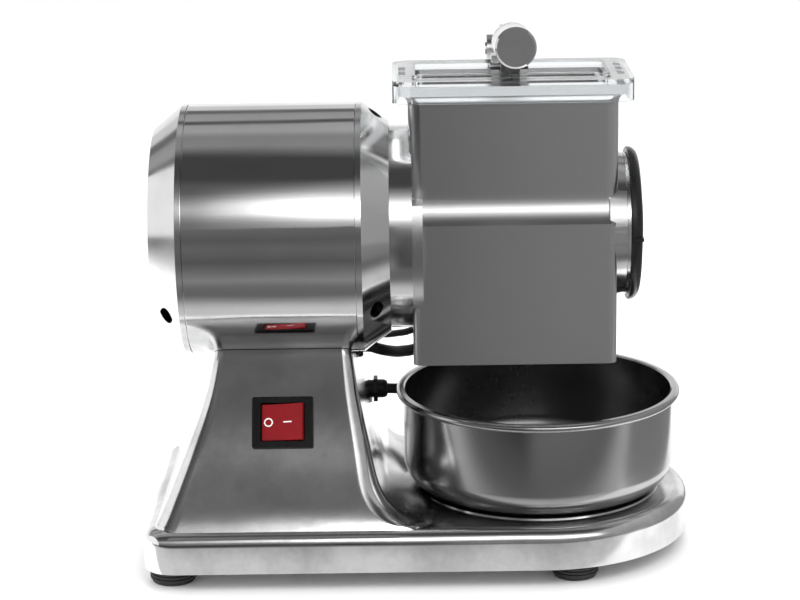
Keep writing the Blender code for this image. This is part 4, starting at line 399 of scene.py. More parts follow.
TIE_WIDTH = 0.008
TIE_GAP = 0.0005
PLUG_RADIUS = 0.0160
PLUG_LENGTH = 0.040
PLUG_SLEEVE_RADIUS = 0.0058
PLUG_SLEEVE_LENGTH = 0.014
PLUG_PIN_RADIUS = 0.0024
PLUG_PIN_LENGTH = 0.019
PLUG_PIN_SPACING = 0.019
ROUTE_STEP = 0.0085
ROUTE_READINGS = 20

# Facets
ROUND_LARGE = 112
ROUND_MEDIUM = 56
ROUND_SMALL = 28
CORNER_STEPS = 8
COLUMN_STEPS = 5
SMOOTH_ANGLE = math.radians(32.0)
CAST_SMOOTH_ANGLE = math.radians(52.0)
WELD = 0.000005

# Details of the looks
TOOTH_WIDTH = 0.0016
TOOTH_HEIGHT = 0.0012
TOOTH_ROWS = 30
TOOTH_COLUMNS = 14
TOOTH_TWIST_SHARE = 0.08
ROCKER_RIM = 0.0010
SHOULDER_POWER = 2.6
VENT_LENS_X = 0.0052
VENT_LENS_Y = 0.0068
PAD_LENGTH = 0.0042
PAD_DEPTH = 0.0085
PAD_PITCH = 0.0170
PAD_RISE = 0.0004
COVER_SCREW_RADIUS = 0.0022
GLAND_NUT_SHARE = 0.45
GLAND_REACH_SHARE = 0.72
GLAND_DOME_SHARE = 0.6
HEX_SIDES = 6
MARK_RADIUS = 0.0028
MARK_WIDTH = 0.0008
MARK_PROUD = 0.00004
MARK_BAR = 0.0055
MARK_OFF_X = -0.0088
MARK_ON_X = 0.0034
TUBE_EDGE = 0.0005
ARM_SOFTENING = 0.0006
PRESSER_SOFTENING = 0.0005
SOFT_EDGE_DEGREES = 40.0
SOFT_EDGE_STEPS = 3
CORD_FACETS = 4
TOOTH_LEAN = 0.2
BEZEL_EASE_SHARE = 0.9
EAR_ARC_DEGREES = (-10, 175)
KNOB_ROUND_DEGREES = 75
GLAND_ROUND_DEGREES = 80

# Detail and roughness of each noise, then the values that shape it
FINE_LINES = (3.0, 0.7)
BROAD_LINES = (2.0, 0.5)
BROAD_LINES_SHARE = 0.17
LINES_MIX = (0.6, 0.4)
SMUDGE_NOISE = (5.0, 0.62)
SMUDGE_EDGES = (0.38, 0.66)
RIPPLE_NOISE = (1.5, 0.4)
SPECKS_NOISE = (2.0, 0.5)
SPECKS_EDGES = (0.75, 0.80)
EVEN = (1.0, 1.0, 1.0)

# Finishes: scales are in repeats per metre, depths of relief in metres
MOULDED_SMUDGE_SCALE = 25.0
MOULDED_GRAIN_SHARE = 0.25
MOULDED_GRAIN_STRENGTH = 0.6
CLEAR_COLOUR = (0.93, 0.95, 0.96, 1.0)
CLEAR_BENDING = 1.49
CLEAR_SMUDGE_SCALE = 40.0
DRAWN_SMUDGE_SCALE = 50.0
DRAWN_STRETCH = (6.0, 1.0, 1.0)
DRAWN_DEPTH = 0.0002
DRAWN_STRENGTH = 0.5
# Name, bright and dim shade, clean and dull roughness, smudge scale, ripple depth, scale and
# stretch, line scale, stretch and depth
METALS = {
    "tube": ("polished_tube_steel", 0.82, 0.74, 0.045, 0.12, 14.0, 0.0012, 9.0, (0.6, 1.0, 3.0),
             120.0, (0.6, 8.0, 8.0), 0.00001),
    "cast": ("polished_casting", 0.88, 0.60, 0.11, 0.22, 16.0, 0.0016, 15.0, EVEN,
             140.0, (6.0, 6.0, 0.8), 0.00002),
    "cap": ("polished_cap", 0.80, 0.74, 0.10, 0.20, 20.0, 0.0006, 16.0, EVEN,
            200.0, (8.0, 1.0, 1.0), 0.00001),
    "satin": ("satin_casting", 0.68, 0.65, 0.28, 0.31, 7.0, 0.0002, 10.0, EVEN,
              200.0, (0.5, 6.0, 8.0), 0.000015),
    "arm": ("satin_arm", 0.86, 0.80, 0.26, 0.36, 30.0, 0.0002, 30.0, EVEN,
            300.0, (1.0, 1.0, 6.0), 0.000015),
    "bowl": ("spun_steel", 0.52, 0.46, 0.16, 0.24, 10.0, 0.0003, 8.0, EVEN,
             200.0, (0.6, 0.6, 10.0), 0.000015),
    # Inside of the bowl: slightly rougher than the outside, and its darker tone (0.30 and 0.24) is
    # painted shade for the bowl's hollow
    "bowl_inside_painted_shade": ("rougher_inner_steel_painted_shade", 0.30, 0.24, 0.20, 0.30, 14.0, 0.0003, 10.0, EVEN,
                    200.0, (0.6, 0.6, 10.0), 0.00002),
    "steel": ("machined_steel", 0.58, 0.50, 0.20, 0.32, 40.0, 0.0001, 60.0, EVEN,
              500.0, (1.0, 1.0, 8.0), 0.00001),
    "grip": ("polished_grip_steel", 0.66, 0.60, 0.08, 0.18, 40.0, 0.0001, 60.0, EVEN,
             600.0, (6.0, 1.0, 1.0), 0.000008),
    "core": ("stacked_core_steel", 0.34, 0.24, 0.35, 0.5, 60.0, 0.0001, 60.0, EVEN,
             900.0, (14.0, 0.4, 0.4), 0.0002),
}
# Name, two colours, clean and dull roughness, grain scale and depth, shine
MOULDINGS = {
    "black": ("black_nylon", (0.006, 0.006, 0.006), (0.012, 0.012, 0.013), 0.24, 0.40,
              1400.0, 0.00005, 0.25),
    "knob": ("black_knob_plastic", (0.006, 0.006, 0.006), (0.012, 0.012, 0.013), 0.22, 0.36,
             1500.0, 0.00004, 0.3),
    "rubber": ("black_rubber", (0.014, 0.014, 0.014), (0.030, 0.030, 0.029), 0.55, 0.75,
               1100.0, 0.00010, 0.5),
    "cord": ("cord_jacket", (0.008, 0.008, 0.008), (0.015, 0.015, 0.015), 0.34, 0.5,
             1300.0, 0.00005, 0.3),
    "red": ("red_switch_plastic", (0.21, 0.006, 0.010), (0.16, 0.005, 0.008), 0.24, 0.38,
            1200.0, 0.00003, 0.3),
    "mark": ("white_mark", (0.80, 0.80, 0.78), (0.70, 0.70, 0.68), 0.35, 0.5,
             1500.0, 0.00002, 0.5),
    "cream": ("cream_terminal_plastic", (0.72, 0.68, 0.58), (0.62, 0.58, 0.49), 0.4, 0.55,
              1200.0, 0.00005, 0.5),
}
# Name, clean and dull roughness
CLEARS = {
    "clear": ("clear_polycarbonate", 0.05, 0.16),
    "frost": ("frosted_polycarbonate", 0.45, 0.6),
}
# Name, two colours, clean and dull roughness, line scale
TINTED_METALS = {
    "brass": ("bush_brass", (0.72, 0.53, 0.26), (0.58, 0.40, 0.18), 0.22, 0.4, 700.0),
    "copper": ("winding_copper", (0.60, 0.26, 0.13), (0.42, 0.17, 0.08), 0.28, 0.45, 900.0),
}

# Reference view and studio
CAMERA_PLACE = (-0.0013, -1.4676, 0.5438)
CAMERA_DEGREES = (14.571, -0.421, -0.912)
CAMERA_FOCAL_PIXELS = 2340.9
CAMERA_CLIP = (0.05, 20.0)
PHOTO_WIDTH = 800
SENSOR_WIDTH = 36.0
FLOOR_HALF = 6.0
FLOOR_COLOUR = (0.96, 0.96, 0.965, 1.0)
FLOOR_ROUGHNESS = 0.7
# Area lamps: name, place, what they point at, width, height and power
LAMPS = (("key", (0.5, -1.2, 1.5), (0, 0, 0.15), 1.2, 0.8, 14.0),
         ("fill", (-1.2, -0.6, 1.0), (0, 0, 0.15), 1.0, 1.0, 5.0),
         ("top", (0.0, 0.5, 1.8), (0, 0, 0.1), 1.4, 1.0, 12.0))

# Room seen in the polished metal: brightness at degrees over the motor axis, from below in front
# over the top to behind
ROOM_RADIUS = 2.5
ROOM_HALF = 4.0
ROOM_TOP_DEGREES = 160.0
ROOM_STEPS = 60
ROOM_FLOOR_START = -0.115
ROOM_FLOOR_HEIGHT = 0.002
ROOM_BANDS = (
    (-90, 0.72), (-72, 0.65), (-66, 0.50), (-61, 0.28), (-56, 0.15), (-40, 0.13), (-36, 0.035),
    (-2, 0.035), (2, 0.08), (6, 0.17), (17, 0.18), (22, 0.28), (27, 0.42), (31, 0.48),
    (36, 0.32), (41, 0.20), (46, 0.12), (55, 0.10), (60, 0.06), (81, 0.06), (86, 0.16),
    (92, 0.28), (104, 0.26), (112, 0.42), (122, 0.38), (124, 0.10), (128, 0.10), (130, 0.38),
    (142, 0.34), (144, 0.15), (150, 0.15), (153, 0.70))
GLOW_BANDS = ((8, 0.0), (13, 0.10), (17, 0.22), (21, 0.50), (25, 1.0), (35, 1.0), (40, 0.45),
              (46, 0.18), (52, 0.06), (58, 0.0))
GLOW_START = (-0.36, -0.10)
GLOW_GAIN = 2.4
GREY_BANDS = ((-60, 0.0), (-45, 0.20), (-30, 0.24), (0, 0.24), (15, 0.22), (25, 0.0))
GREY_START = (-0.03, 0.05)
REFLECTOR_Y = -0.15
REFLECTOR_SIDES = (-0.20, -0.015)
REFLECTOR_BANDS = ((0.085, 0.17), (0.10, 0.15), (0.125, 0.17), (0.145, 0.26), (0.165, 0.17),
                   (0.185, 0.10), (0.195, 0.12), (0.21, 0.14), (0.225, 0.11), (0.245, 0.15))
RIGHT_SCREEN = ((1.5, -1.4), (1.5, 1.8))
SCREEN_BANDS = ((0.0, 0.35), (0.4, 0.35), (1.8, 0.5))
RIGHT_FLOOR = ((0.27, -0.115), (2.2, 1.4))
RIGHT_FLOOR_BANDS = ((0.0, 0.30), (1.0, 0.30))


def link(name, data):
    made = bpy.data.objects.new(name, data)
    bpy.context.scene.collection.objects.link(made)
    return made


def finish(name, bm, surface):
    """Make a clean smooth-shaded object from a bmesh."""
    bmesh.ops.remove_doubles(bm, verts=bm.verts, dist=WELD)
    bmesh.ops.recalc_face_normals(bm, faces=bm.faces)
    mesh = bpy.data.meshes.new(name)
    bm.to_mesh(mesh)
    bm.free()
    mesh.shade_smooth()
    mesh.set_sharp_from_angle(angle=SMOOTH_ANGLE)
    if surface is not None:
        mesh.materials.append(surface)
    return link(name, mesh)


def add_loft(bm, rings):
    """Bridge closed rings of equal point count and cap both ends."""
    rows = [[bm.verts.new(point) for point in ring] for ring in rings]
    count = len(rows[0])
    for low, high in zip(rows, rows[1:]):
        for i in range(count):
            bm.faces.new((low[i], low[(i + 1) % count], high[(i + 1) % count], high[i]))
    bm.faces.new(list(reversed(rows[0])))
    bm.faces.new(rows[-1])


def loft(name, rings, surface=None):
    bm = bmesh.new()
    add_loft(bm, rings)
    return finish(name, bm, surface)


def place(axis, along, u, v):
    """Point at a distance along an axis, with u and v in the plane across it."""
    if axis == "X":
        return Vector((along, u, v))
    if axis == "Y":
        return Vector((u, along, v))
    return Vector((u, v, along))


def prism(name, outline, low, high, axis, surface=None, shift=(0.0, 0.0, 0.0)):
    """Straight prism of an outline given in the plane across the axis."""
    rings = [[place(axis, along, u, v) + Vector(shift) for u, v in outline] for along in (low, high)]
    return loft(name, rings, surface)


def box(name, low, high, surface=None):
    outline = ((low[0], low[1]), (high[0], low[1]), (high[0], high[1]), (low[0], high[1]))
    return prism(name, outline, low[2], high[2], "Z", surface)


def arc(centre, radius, start, stop, steps):
    """Points on an arc, angles in degrees."""
    points = []
    for i in range(steps + 1):
        angle = math.radians(start + (stop - start) * i / steps)
        points.append((centre[0] + radius * math.cos(angle), centre[1] + radius * math.sin(angle)))
    return points


def rounded_rectangle(left, right, low, high, radius, steps=CORNER_STEPS):
    """Outline in a plane, anticlockwise from the lower right corner."""
    points = arc((right - radius, low + radius), radius, -90, 0, steps)
    points += arc((right - radius, high - radius), radius, 0, 90, steps)
    points += arc((left + radius, high - radius), radius, 90, 180, steps)
    points += arc((left + radius, low + radius), radius, 180, 270, steps)
    return points


def turned(name, profile, axis, centre, count, surface=None):
    """Turn a closed profile of (along, radius) points about an axis through a centre."""
    bm = bmesh.new()
    closed = profile[0][1] > 0 or profile[-1][1] > 0
    rows = []
    for along, radius in profile:
        if radius == 0:
            rows.append([bm.verts.new(place(axis, along, 0, 0) + Vector(centre))])
            continue
        row = []
        for i in range(count):
            angle = math.tau * i / count
            spot = place(axis, along, radius * math.cos(angle), radius * math.sin(angle))
            row.append(bm.verts.new(spot + Vector(centre)))
        rows.append(row)
    pairs = list(zip(rows, rows[1:]))
    if closed:
        pairs.append((rows[-1], rows[0]))
    for first, second in pairs:
        if len(first) == 1 and len(second) == 1:
            continue
        for i in range(count):
            j = (i + 1) % count
            corners = []
            for row, k in ((first, i), (first, j), (second, j), (second, i)):
                corner = row[k] if len(row) > 1 else row[0]
                if corner not in corners:
                    corners.append(corner)
            bm.faces.new(corners)
    return finish(name, bm, surface)


def rod(name, radius, low, high, axis, centre, count, surface=None):
    profile = ((low, 0), (low, radius), (high, radius), (high, 0))
    return turned(name, profile, axis, centre, count, surface)


def on_axis(name, profile, count, surface=None):
    """Turn a profile about the motor axis."""
    return turned(name, profile, "X", (0, 0, AXIS_Z), count, surface)


def axis_rod(name, radius, low, high, count=ROUND_LARGE, surface=None):
    return rod(name, radius, low, high, "X", (0, 0, AXIS_Z), count, surface)


def combine(target, tool, operation):
    """Boolean the tool into the target, keep the result and drop the tool."""
    modifier = target.modifiers.new(operation, "BOOLEAN")
    modifier.operation = operation
    modifier.solver = "EXACT"
    modifier.object = tool
    tool.hide_render = True
    tool.display_type = "WIRE"
    bpy.context.view_layer.update()
    graph = bpy.context.evaluated_depsgraph_get()
    mesh = bpy.data.meshes.new_from_object(target.evaluated_get(graph))
    target.modifiers.clear()
    bm = bmesh.new()
    bm.from_mesh(mesh)
    bmesh.ops.remove_doubles(bm, verts=bm.verts, dist=WELD)
    bmesh.ops.dissolve_degenerate(bm, edges=bm.edges, dist=WELD)
    bm.to_mesh(mesh)
    bm.free()
    target.data = mesh
    bpy.data.objects.remove(tool, do_unlink=True)
    mesh.shade_smooth()
    mesh.set_sharp_from_angle(angle=SMOOTH_ANGLE)


def cut(target, tool):
    combine(target, tool, "DIFFERENCE")


def join(target, tool):
    combine(target, tool, "UNION")


def tilt(item, degrees, axis, centre):
    """Turn an object's mesh about an axis through a point."""
    move = Matrix.Translation(Vector(centre))
    turn = Matrix.Rotation(math.radians(degrees), 4, axis)
    item.data.transform(move @ turn @ move.inverted())


def base_outline(inset, height):
    """Plan of the base: a half round right end and two rounded left corners."""
    end = BASE_DEPTH / 2 - inset
    left = BASE_LEFT_X + inset
    corner = BASE_CORNER - inset
    outline = arc((BOWL_X, 0), end, -90, 90, 4 * CORNER_STEPS + 4)
    outline += arc((left + corner, end - corner), corner, 90, 180, CORNER_STEPS)
    outline += arc((left + corner, corner - end), corner, 180, 270, CORNER_STEPS)
    return [Vector((x, y, height)) for x, y in outline]


def column_half_depth(below):
    """Half depth of the column's sloping front and back, at a distance below the axis."""
    return COLUMN_TOP_HALF_DEPTH + COLUMN_SLANT * (below - COLUMN_TOP_BELOW_AXIS)


def column_ring(below, left, right, inset):
    share = (below - COLUMN_TOP_BELOW_AXIS) / (COLUMN_FOOT_BELOW_AXIS - COLUMN_TOP_BELOW_AXIS)
    corner = COLUMN_TOP_CORNER + (COLUMN_FOOT_CORNER - COLUMN_TOP_CORNER) * share
    half = column_half_depth(below) - inset
    outline = rounded_rectangle(left + inset, right - inset, -half, half, corner)
    return [Vector((x, y, AXIS_Z - below)) for x, y in outline]


def smooth_rows(rows, steps):
    """Rows of numbers with more rows added on a smooth curve between them."""
    spots = [Vector(row) for row in rows]
    ends = [spots[0] * 2 - spots[1]] + spots + [spots[-1] * 2 - spots[-2]]
    fine = []
    for a, b, c, d in zip(ends, ends[1:], ends[2:], ends[3:]):
        fine += geometry.interpolate_bezier(b, b + (c - a) / 6, c - (d - b) / 6, c, steps)[:-1]
    return fine + [spots[-1]]


def column_levels():
    """Depth below the axis with the column's left and right side there, from the top down."""
    height = COLUMN_FOOT_BELOW_AXIS - COLUMN_TOP_BELOW_AXIS
    return [(COLUMN_TOP_BELOW_AXIS + height * down, COLUMN_LEFT_X - COLUMN_LEFT_FLARE * left,
             COLUMN_RIGHT_X + COLUMN_RIGHT_FLARE * right)
            for down, left, right in smooth_rows(COLUMN_SIDE_SHARES, COLUMN_STEPS)]


def column_side(below):
    """Left and right side of the column at a distance below the axis."""
    levels = column_levels()
    for first, second in zip(levels, levels[1:]):
        if first[0] <= below <= second[0]:
            share = (below - first[0]) / (second[0] - first[0])
            return [a + (b - a) * share for a, b in zip(first[1:], second[1:])]
    return levels[-1][1:]


def foot_places():
    names = ("front_left", "back_left", "front_right", "back_right")
    spots = ((FOOT_LEFT_X, -FOOT_Y), (FOOT_LEFT_X, FOOT_Y), (FOOT_RIGHT_X, -FOOT_Y),
             (FOOT_RIGHT_X, FOOT_Y))
    return list(zip(names, spots))


def cover_bottom():
    return SKIRT_BOTTOM + COVER_RECESS


def cover_top():
    return cover_bottom() + COVER_THICKNESS


def slanted(spot):
    """Place a point given across, up and out of the column's sloping front at the switch."""
    slope = math.atan(COLUMN_SLANT)
    up = Vector((0, math.sin(slope), math.cos(slope)))
    out = Vector((0, -math.cos(slope), math.sin(slope)))
    centre = Vector((SWITCH_X, -column_half_depth(SWITCH_BELOW_AXIS), AXIS_Z - SWITCH_BELOW_AXIS))
    return centre + Vector((1, 0, 0)) * spot[0] + up * spot[1] + out * spot[2]


def slanted_prism(name, outline, low, high):
    return loft(name, [[slanted((u, v, out)) for u, v in outline] for out in (low, high)])


def switch_outline(width, height, corner):
    return rounded_rectangle(-width / 2, width / 2, -height / 2, height / 2, corner, 2)


def build_base(surface):
    edge = BASE_TOP - BASE_EDGE_ROUND
    rings = [base_outline(0, SKIRT_BOTTOM)]
    for out, up in arc((BASE_EDGE_ROUND, 0), BASE_EDGE_ROUND, 180, 90, CORNER_STEPS):
        rings.append(base_outline(out, edge + up))
    base = loft("base_shell", rings, surface)
    column = loft("column", [column_ring(below, left, right, 0)
                             for below, left, right in column_levels()])
    join(base, column)
    seat = rod("seat", SEAT_RADIUS, BASE_TOP - BURY, BASE_TOP + SEAT_HEIGHT, "Z",
               (BOWL_X, 0, 0), ROUND_LARGE)
    join(base, seat)
    inner_top = BASE_TOP - CAST_WALL
    hollow = [base_outline(CAST_WALL, SKIRT_BOTTOM - OVERRUN), base_outline(CAST_WALL, edge)]
    hollow.append(base_outline(BASE_EDGE_ROUND, inner_top))
    cut(base, loft("base_hollow", hollow))
    void = [COLUMN_VOID_BELOW_AXIS] + [row[0] for row in column_levels()
                                       if row[0] > COLUMN_VOID_BELOW_AXIS + BURY]
    void.append(COLUMN_FOOT_BELOW_AXIS + OVERRUN)
    rings = [column_ring(below, *column_side(below), CAST_WALL) for below in void]
    cut(base, loft("column_hollow", rings))
    cut(base, axis_rod("cradle", TUBE_RADIUS + GAP, BASE_LEFT_X, BOWL_X))
    cut(base, rod("wire_hole", WIRE_HOLE_RADIUS, AXIS_Z - COLUMN_VOID_BELOW_AXIS - OVERRUN,
                  AXIS_Z - COLUMN_TOP_BELOW_AXIS, "Z", (wire_hole_x(), 0, 0), ROUND_SMALL))
    for _, (x, y) in foot_places():
        join(base, rod("boss", BOSS_RADIUS, cover_top() + GAP, inner_top + BURY, "Z",
                       (x, y, 0), ROUND_SMALL))
        cut(base, rod("boss_hole", SCREW_RADIUS + GAP, SKIRT_BOTTOM,
                      FOOT_RECESS_DEPTH + SCREW_LENGTH + GAP, "Z", (x, y, 0), ROUND_SMALL))
    width = WINDOW_WIDTH + 2 * (SWITCH_WALL + GAP)
    height = WINDOW_HEIGHT + 2 * (SWITCH_WALL + GAP)
    cut(base, slanted_prism("switch_hole", switch_outline(width, height, BEZEL_CORNER),
                            -CAST_WALL - 2 * OVERRUN, OVERRUN))
    for y, below, radius in side_holes():
        right = column_side(below)[1]
        cut(base, rod("side_hole", radius + GAP, right - CAST_WALL - 2 * OVERRUN,
                      right + OVERRUN, "X", (0, y, AXIS_Z - below), ROUND_SMALL))
    base.data.set_sharp_from_angle(angle=CAST_SMOOTH_ANGLE)
    return base


def side_holes():
    """Holes in the column's right side: place, depth below the axis and radius."""
    return ((GROMMET_Y, GROMMET_BELOW_AXIS, LEAD_THICK_RADIUS + GROMMET_WALL),
            (THIN_GROMMET_Y, THIN_GROMMET_BELOW_AXIS, LEAD_THIN_RADIUS + GROMMET_WALL),
            (GLAND_Y, GLAND_BELOW_AXIS, GLAND_THREAD_RADIUS))


def wire_hole_x():
    return SWITCH_X + WIRE_HOLE_OFFSET


def vent(along, radius, lean, degrees):
    """Lens-shaped slot cutter through a cap's cone, at an angle round the motor axis."""
    outline = []
    for i in range(ROUND_SMALL):
        angle = math.tau * i / ROUND_SMALL
        rise = math.sin(angle) * math.sqrt(abs(math.sin(angle)))
        outline.append((VENT_LENS_X * math.cos(angle), VENT_LENS_Y * rise))
    slot = loft("vent", [[Vector((along + u, v, AXIS_Z + height)) for u, v in outline]
                         for height in (radius - 3 * OVERRUN, radius + 2 * OVERRUN)])
    tilt(slot, lean, "Y", (along, 0, AXIS_Z + radius))
    tilt(slot, degrees - 90, "X", (0, 0, AXIS_Z))
    return slot


def cone_place(x1, r1, x2, r2):
    """Middle of a cap's cone and the lean of its surface in degrees."""
    return (x1 + x2) / 2, (r1 + r2) / 2, math.degrees(math.atan2(r1 - r2, x2 - x1))


def build_caps(surface):
    inner = TUBE_RADIUS - TUBE_WALL - GAP
    thin = inner - CAP_WALL / 2
    bore = SHAFT_RADIUS + RUNNING_GAP
    seat = BEARING_RADIUS + GAP
    seam = TUBE_RIGHT_X + GAP
    band = seam + CAP_BAND
    face = FRONT_CAP_X - CAP_WALL
    tip = FRONT_CAP_X + NECK_SPIGOT_LENGTH
    hub = face - BEARING_WIDTH - GAP
    spigot = NECK_SPIGOT_RADIUS
    front = on_axis("front_end_bell", (
        (seam, TUBE_RADIUS), (band, TUBE_RADIUS), (FRONT_CAP_X, FRONT_CAP_RADIUS),
        (FRONT_CAP_X, spigot), (tip, spigot), (tip, spigot - CAP_WALL),
        (FRONT_CAP_X, spigot - CAP_WALL), (FRONT_CAP_X, bore), (face, bore), (face, seat),
        (hub, seat), (hub, HUB_RADIUS), (face, HUB_RADIUS),
        (face, FRONT_CAP_RADIUS - CAP_WALL), (band - BURY, thin), (seam - CAP_SPIGOT, thin),
        (seam - CAP_SPIGOT, inner), (seam, inner)), ROUND_LARGE, surface)
    middle, radius, lean = cone_place(band, TUBE_RADIUS, FRONT_CAP_X, FRONT_CAP_RADIUS)
    for degrees in VENT_FRONT_DEGREES:
        cut(front, vent(middle, radius, lean, degrees))
    seam = TUBE_LEFT_X - GAP
    band = seam - CAP_BAND
    face = REAR_CAP_X + CAP_WALL
    hub = rear_bearing_x() + BEARING_WIDTH
    disc = REAR_DISC_RADIUS + GAP
    dome = REAR_CAP_X - REAR_DOME
    rear = on_axis("rear_end_bell", (
        (seam, TUBE_RADIUS), (band, TUBE_RADIUS), (REAR_CAP_X, REAR_CAP_RADIUS),
        (REAR_CAP_X - REAR_DOME * 3 / 5, REAR_CAP_RADIUS * 3 / 4), (dome, disc),
        (dome + REAR_DISC_THICKNESS + GAP, disc), (dome + REAR_DISC_THICKNESS + GAP, seat - CAP_WALL),
        (rear_bearing_x() - GAP, seat - CAP_WALL), (rear_bearing_x() - GAP, seat), (hub, seat),
        (hub, HUB_RADIUS), (face, HUB_RADIUS), (face, REAR_CAP_RADIUS - CAP_WALL),
        (band + BURY, thin), (seam + CAP_SPIGOT, thin), (seam + CAP_SPIGOT, inner),
        (seam, inner)), ROUND_LARGE, surface)
    middle, radius, lean = cone_place(REAR_CAP_X, REAR_CAP_RADIUS, band, TUBE_RADIUS)
    for degrees in VENT_REAR_DEGREES:
        cut(rear, vent(middle, radius, lean, degrees))
    return front, rear, axis_rod("rear_end_disc", REAR_DISC_RADIUS, dome,
                                 dome + REAR_DISC_THICKNESS, ROUND_MEDIUM, surface)


def build_shell(surface):
    """Motor tube with slightly rounded ends."""
    inner = TUBE_RADIUS - TUBE_WALL
    return on_axis("motor_tube", (
        (TUBE_LEFT_X, inner), (TUBE_LEFT_X, TUBE_RADIUS - TUBE_EDGE),
        (TUBE_LEFT_X + TUBE_EDGE / 3, TUBE_RADIUS - TUBE_EDGE / 3),
        (TUBE_LEFT_X + TUBE_EDGE, TUBE_RADIUS), (TUBE_RIGHT_X - TUBE_EDGE, TUBE_RADIUS),
        (TUBE_RIGHT_X - TUBE_EDGE / 3, TUBE_RADIUS - TUBE_EDGE / 3),
        (TUBE_RIGHT_X, TUBE_RADIUS - TUBE_EDGE), (TUBE_RIGHT_X, inner)), 2 * ROUND_LARGE, surface)


def rear_bearing_x():
    return REAR_CAP_X + BURY


def shell_ring(height, left, right, half, corner):
    """One level of the housing or the guard, at a height from the motor axis."""
    return [Vector((x, y, AXIS_Z + height))
            for x, y in rounded_rectangle(left, right, -half, half, corner)]


def blend(first, second, share):
    return [a + (b - a) * share for a, b in zip(first, second)]


def housing_levels(inset):
    """Levels of the housing from the chute's mouth up to the hopper's flange."""
    chute = (CHUTE_LEFT_X, CHUTE_RIGHT_X, CHUTE_HALF_DEPTH, CHUTE_CORNER)
    hopper = (HOPPER_LEFT_X, HOPPER_RIGHT_X, HOPPER_HALF_DEPTH, HOPPER_CORNER)
    flange = (HOPPER_LEFT_X - FLANGE_OVERHANG, HOPPER_RIGHT_X + FLANGE_OVERHANG,
              FLANGE_HALF_DEPTH, HOPPER_CORNER)
    levels = [(CHUTE_BOTTOM, chute)]
    for i in range(2 * CORNER_STEPS + 1):
        share = (i / (2 * CORNER_STEPS)) ** 2
        height = SHOULDER_FOOT + (SHOULDER_TOP - SHOULDER_FOOT) * share
        ease = (1 - math.cos(math.pi * share)) / 2
        if not inset:
            ease = 1 - (1 - share) ** SHOULDER_POWER
        levels.append((height, blend(chute, hopper, ease)))
    if inset:
        levels.append((FLANGE_TOP + OVERRUN, hopper))
        levels[0] = (CHUTE_BOTTOM - OVERRUN, chute)
    else:
        levels.append((FLARE_FOOT, hopper))
        for i in range(1, CORNER_STEPS + 1):
            share = i / CORNER_STEPS
            out = 1 - math.sqrt(1 - share * share)
            height = FLARE_FOOT + (FLANGE_FOOT - FLARE_FOOT) * share
            levels.append((height, blend(hopper, flange, out)))
        levels.append((FLANGE_TOP, flange))
    rings = []
    for height, (left, right, half, corner) in levels:
        rings.append(shell_ring(height, left + inset, right - inset, half - inset,
                                corner - inset / 2))
    return rings


def ear_outline():
    wall = HOPPER_HALF_DEPTH - HOUSING_WALL / 2
    behind = GUARD_HALF_DEPTH + RUNNING_GAP
    under = GUARD_TOP - GUARD_HEIGHT - RUNNING_GAP
    outline = [(wall, EAR_FOOT), (HINGE_Y - EAR_RADIUS / 2, EAR_FOOT + EAR_RADIUS)]
    outline += arc((HINGE_Y, HINGE_Z), EAR_RADIUS, *EAR_ARC_DEGREES, 2 * CORNER_STEPS)
    outline += [(behind, HINGE_Z - EAR_RADIUS), (behind, under), (wall, under)]
    return outline


def neck_rod(name, radius, low, high, degrees):
    made = rod(name, radius, AXIS_Z + low, AXIS_Z + high, "Z", (NECK_SCREW_X, 0, 0), ROUND_SMALL)
    tilt(made, degrees + 90, "X", (0, 0, AXIS_Z))
    return made


def build_housing(surface, turned_surface):
    housing = loft("hopper_and_chute", housing_levels(0), surface)
    join(housing, axis_rod("neck", NECK_RADIUS, NECK_LEFT_X, NECK_RIGHT_X))
    cheek = axis_rod("cheek", NECK_RADIUS, NECK_RIGHT_X - BURY, CHEEK_RIGHT_X)
    keep = box("keep", (NECK_RIGHT_X - OVERRUN, -BASE_DEPTH / 2, AXIS_Z + CHEEK_BOTTOM),
               (CHEEK_RIGHT_X + OVERRUN, BASE_DEPTH / 2, AXIS_Z + CHEEK_TOP))
    combine(cheek, keep, "INTERSECT")
    join(housing, cheek)
    join(housing, on_axis("end_ring", (
        (END_RING_LEFT_X, 0), (END_RING_LEFT_X, END_RING_RADIUS),
        (END_RING_RIGHT_X, END_RING_TIP_RADIUS), (END_RING_RIGHT_X, 0)), ROUND_LARGE))
    for side in (-1, 1):
        inner = LEVER_X + side * (ARM_THICKNESS / 2 + RUNNING_GAP)
        outer = inner + side * EAR_THICKNESS
        join(housing, prism("ear", ear_outline(), min(inner, outer), max(inner, outer), "X",
                            shift=(0, 0, AXIS_Z)))
    cut(housing, loft("cavity", housing_levels(HOUSING_WALL)))
    cut(housing, axis_rod("neck_recess", NECK_SPIGOT_RADIUS + GAP, NECK_LEFT_X - OVERRUN,
                          NECK_LEFT_X + NECK_SPIGOT_LENGTH + 2 * GAP))
    cut(housing, axis_rod("seal_bore", SEAL_RADIUS + GAP, NECK_LEFT_X - OVERRUN,
                          CHEEK_RIGHT_X + OVERRUN, ROUND_MEDIUM))
    cut(housing, axis_rod("drum_bore", DRUM_BORE_RADIUS, END_RING_LEFT_X - OVERRUN,
                          END_RING_RIGHT_X + OVERRUN))
    cut(housing, rod("pin_hole", PIN_RADIUS + GAP, 0, 2 * LEVER_X, "X",
                     (0, HINGE_Y, AXIS_Z + HINGE_Z), ROUND_SMALL))
    for degrees in NECK_SCREW_DEGREES:
        cut(housing, neck_rod("screw_hole", NECK_SCREW_RADIUS + GAP, NECK_SPIGOT_RADIUS,
                              NECK_RADIUS + OVERRUN, degrees))
    housing.data.materials.append(turned_surface)
    for face in housing.data.polygons:
        out = face.center.x - HOPPER_RIGHT_X
        by_ring = abs(face.center.z - AXIS_Z) < END_RING_RADIUS and out > GAP
        if face.center.x < NECK_RIGHT_X or out > FLANGE_OVERHANG or by_ring:
            face.material_index = 1
    return housing


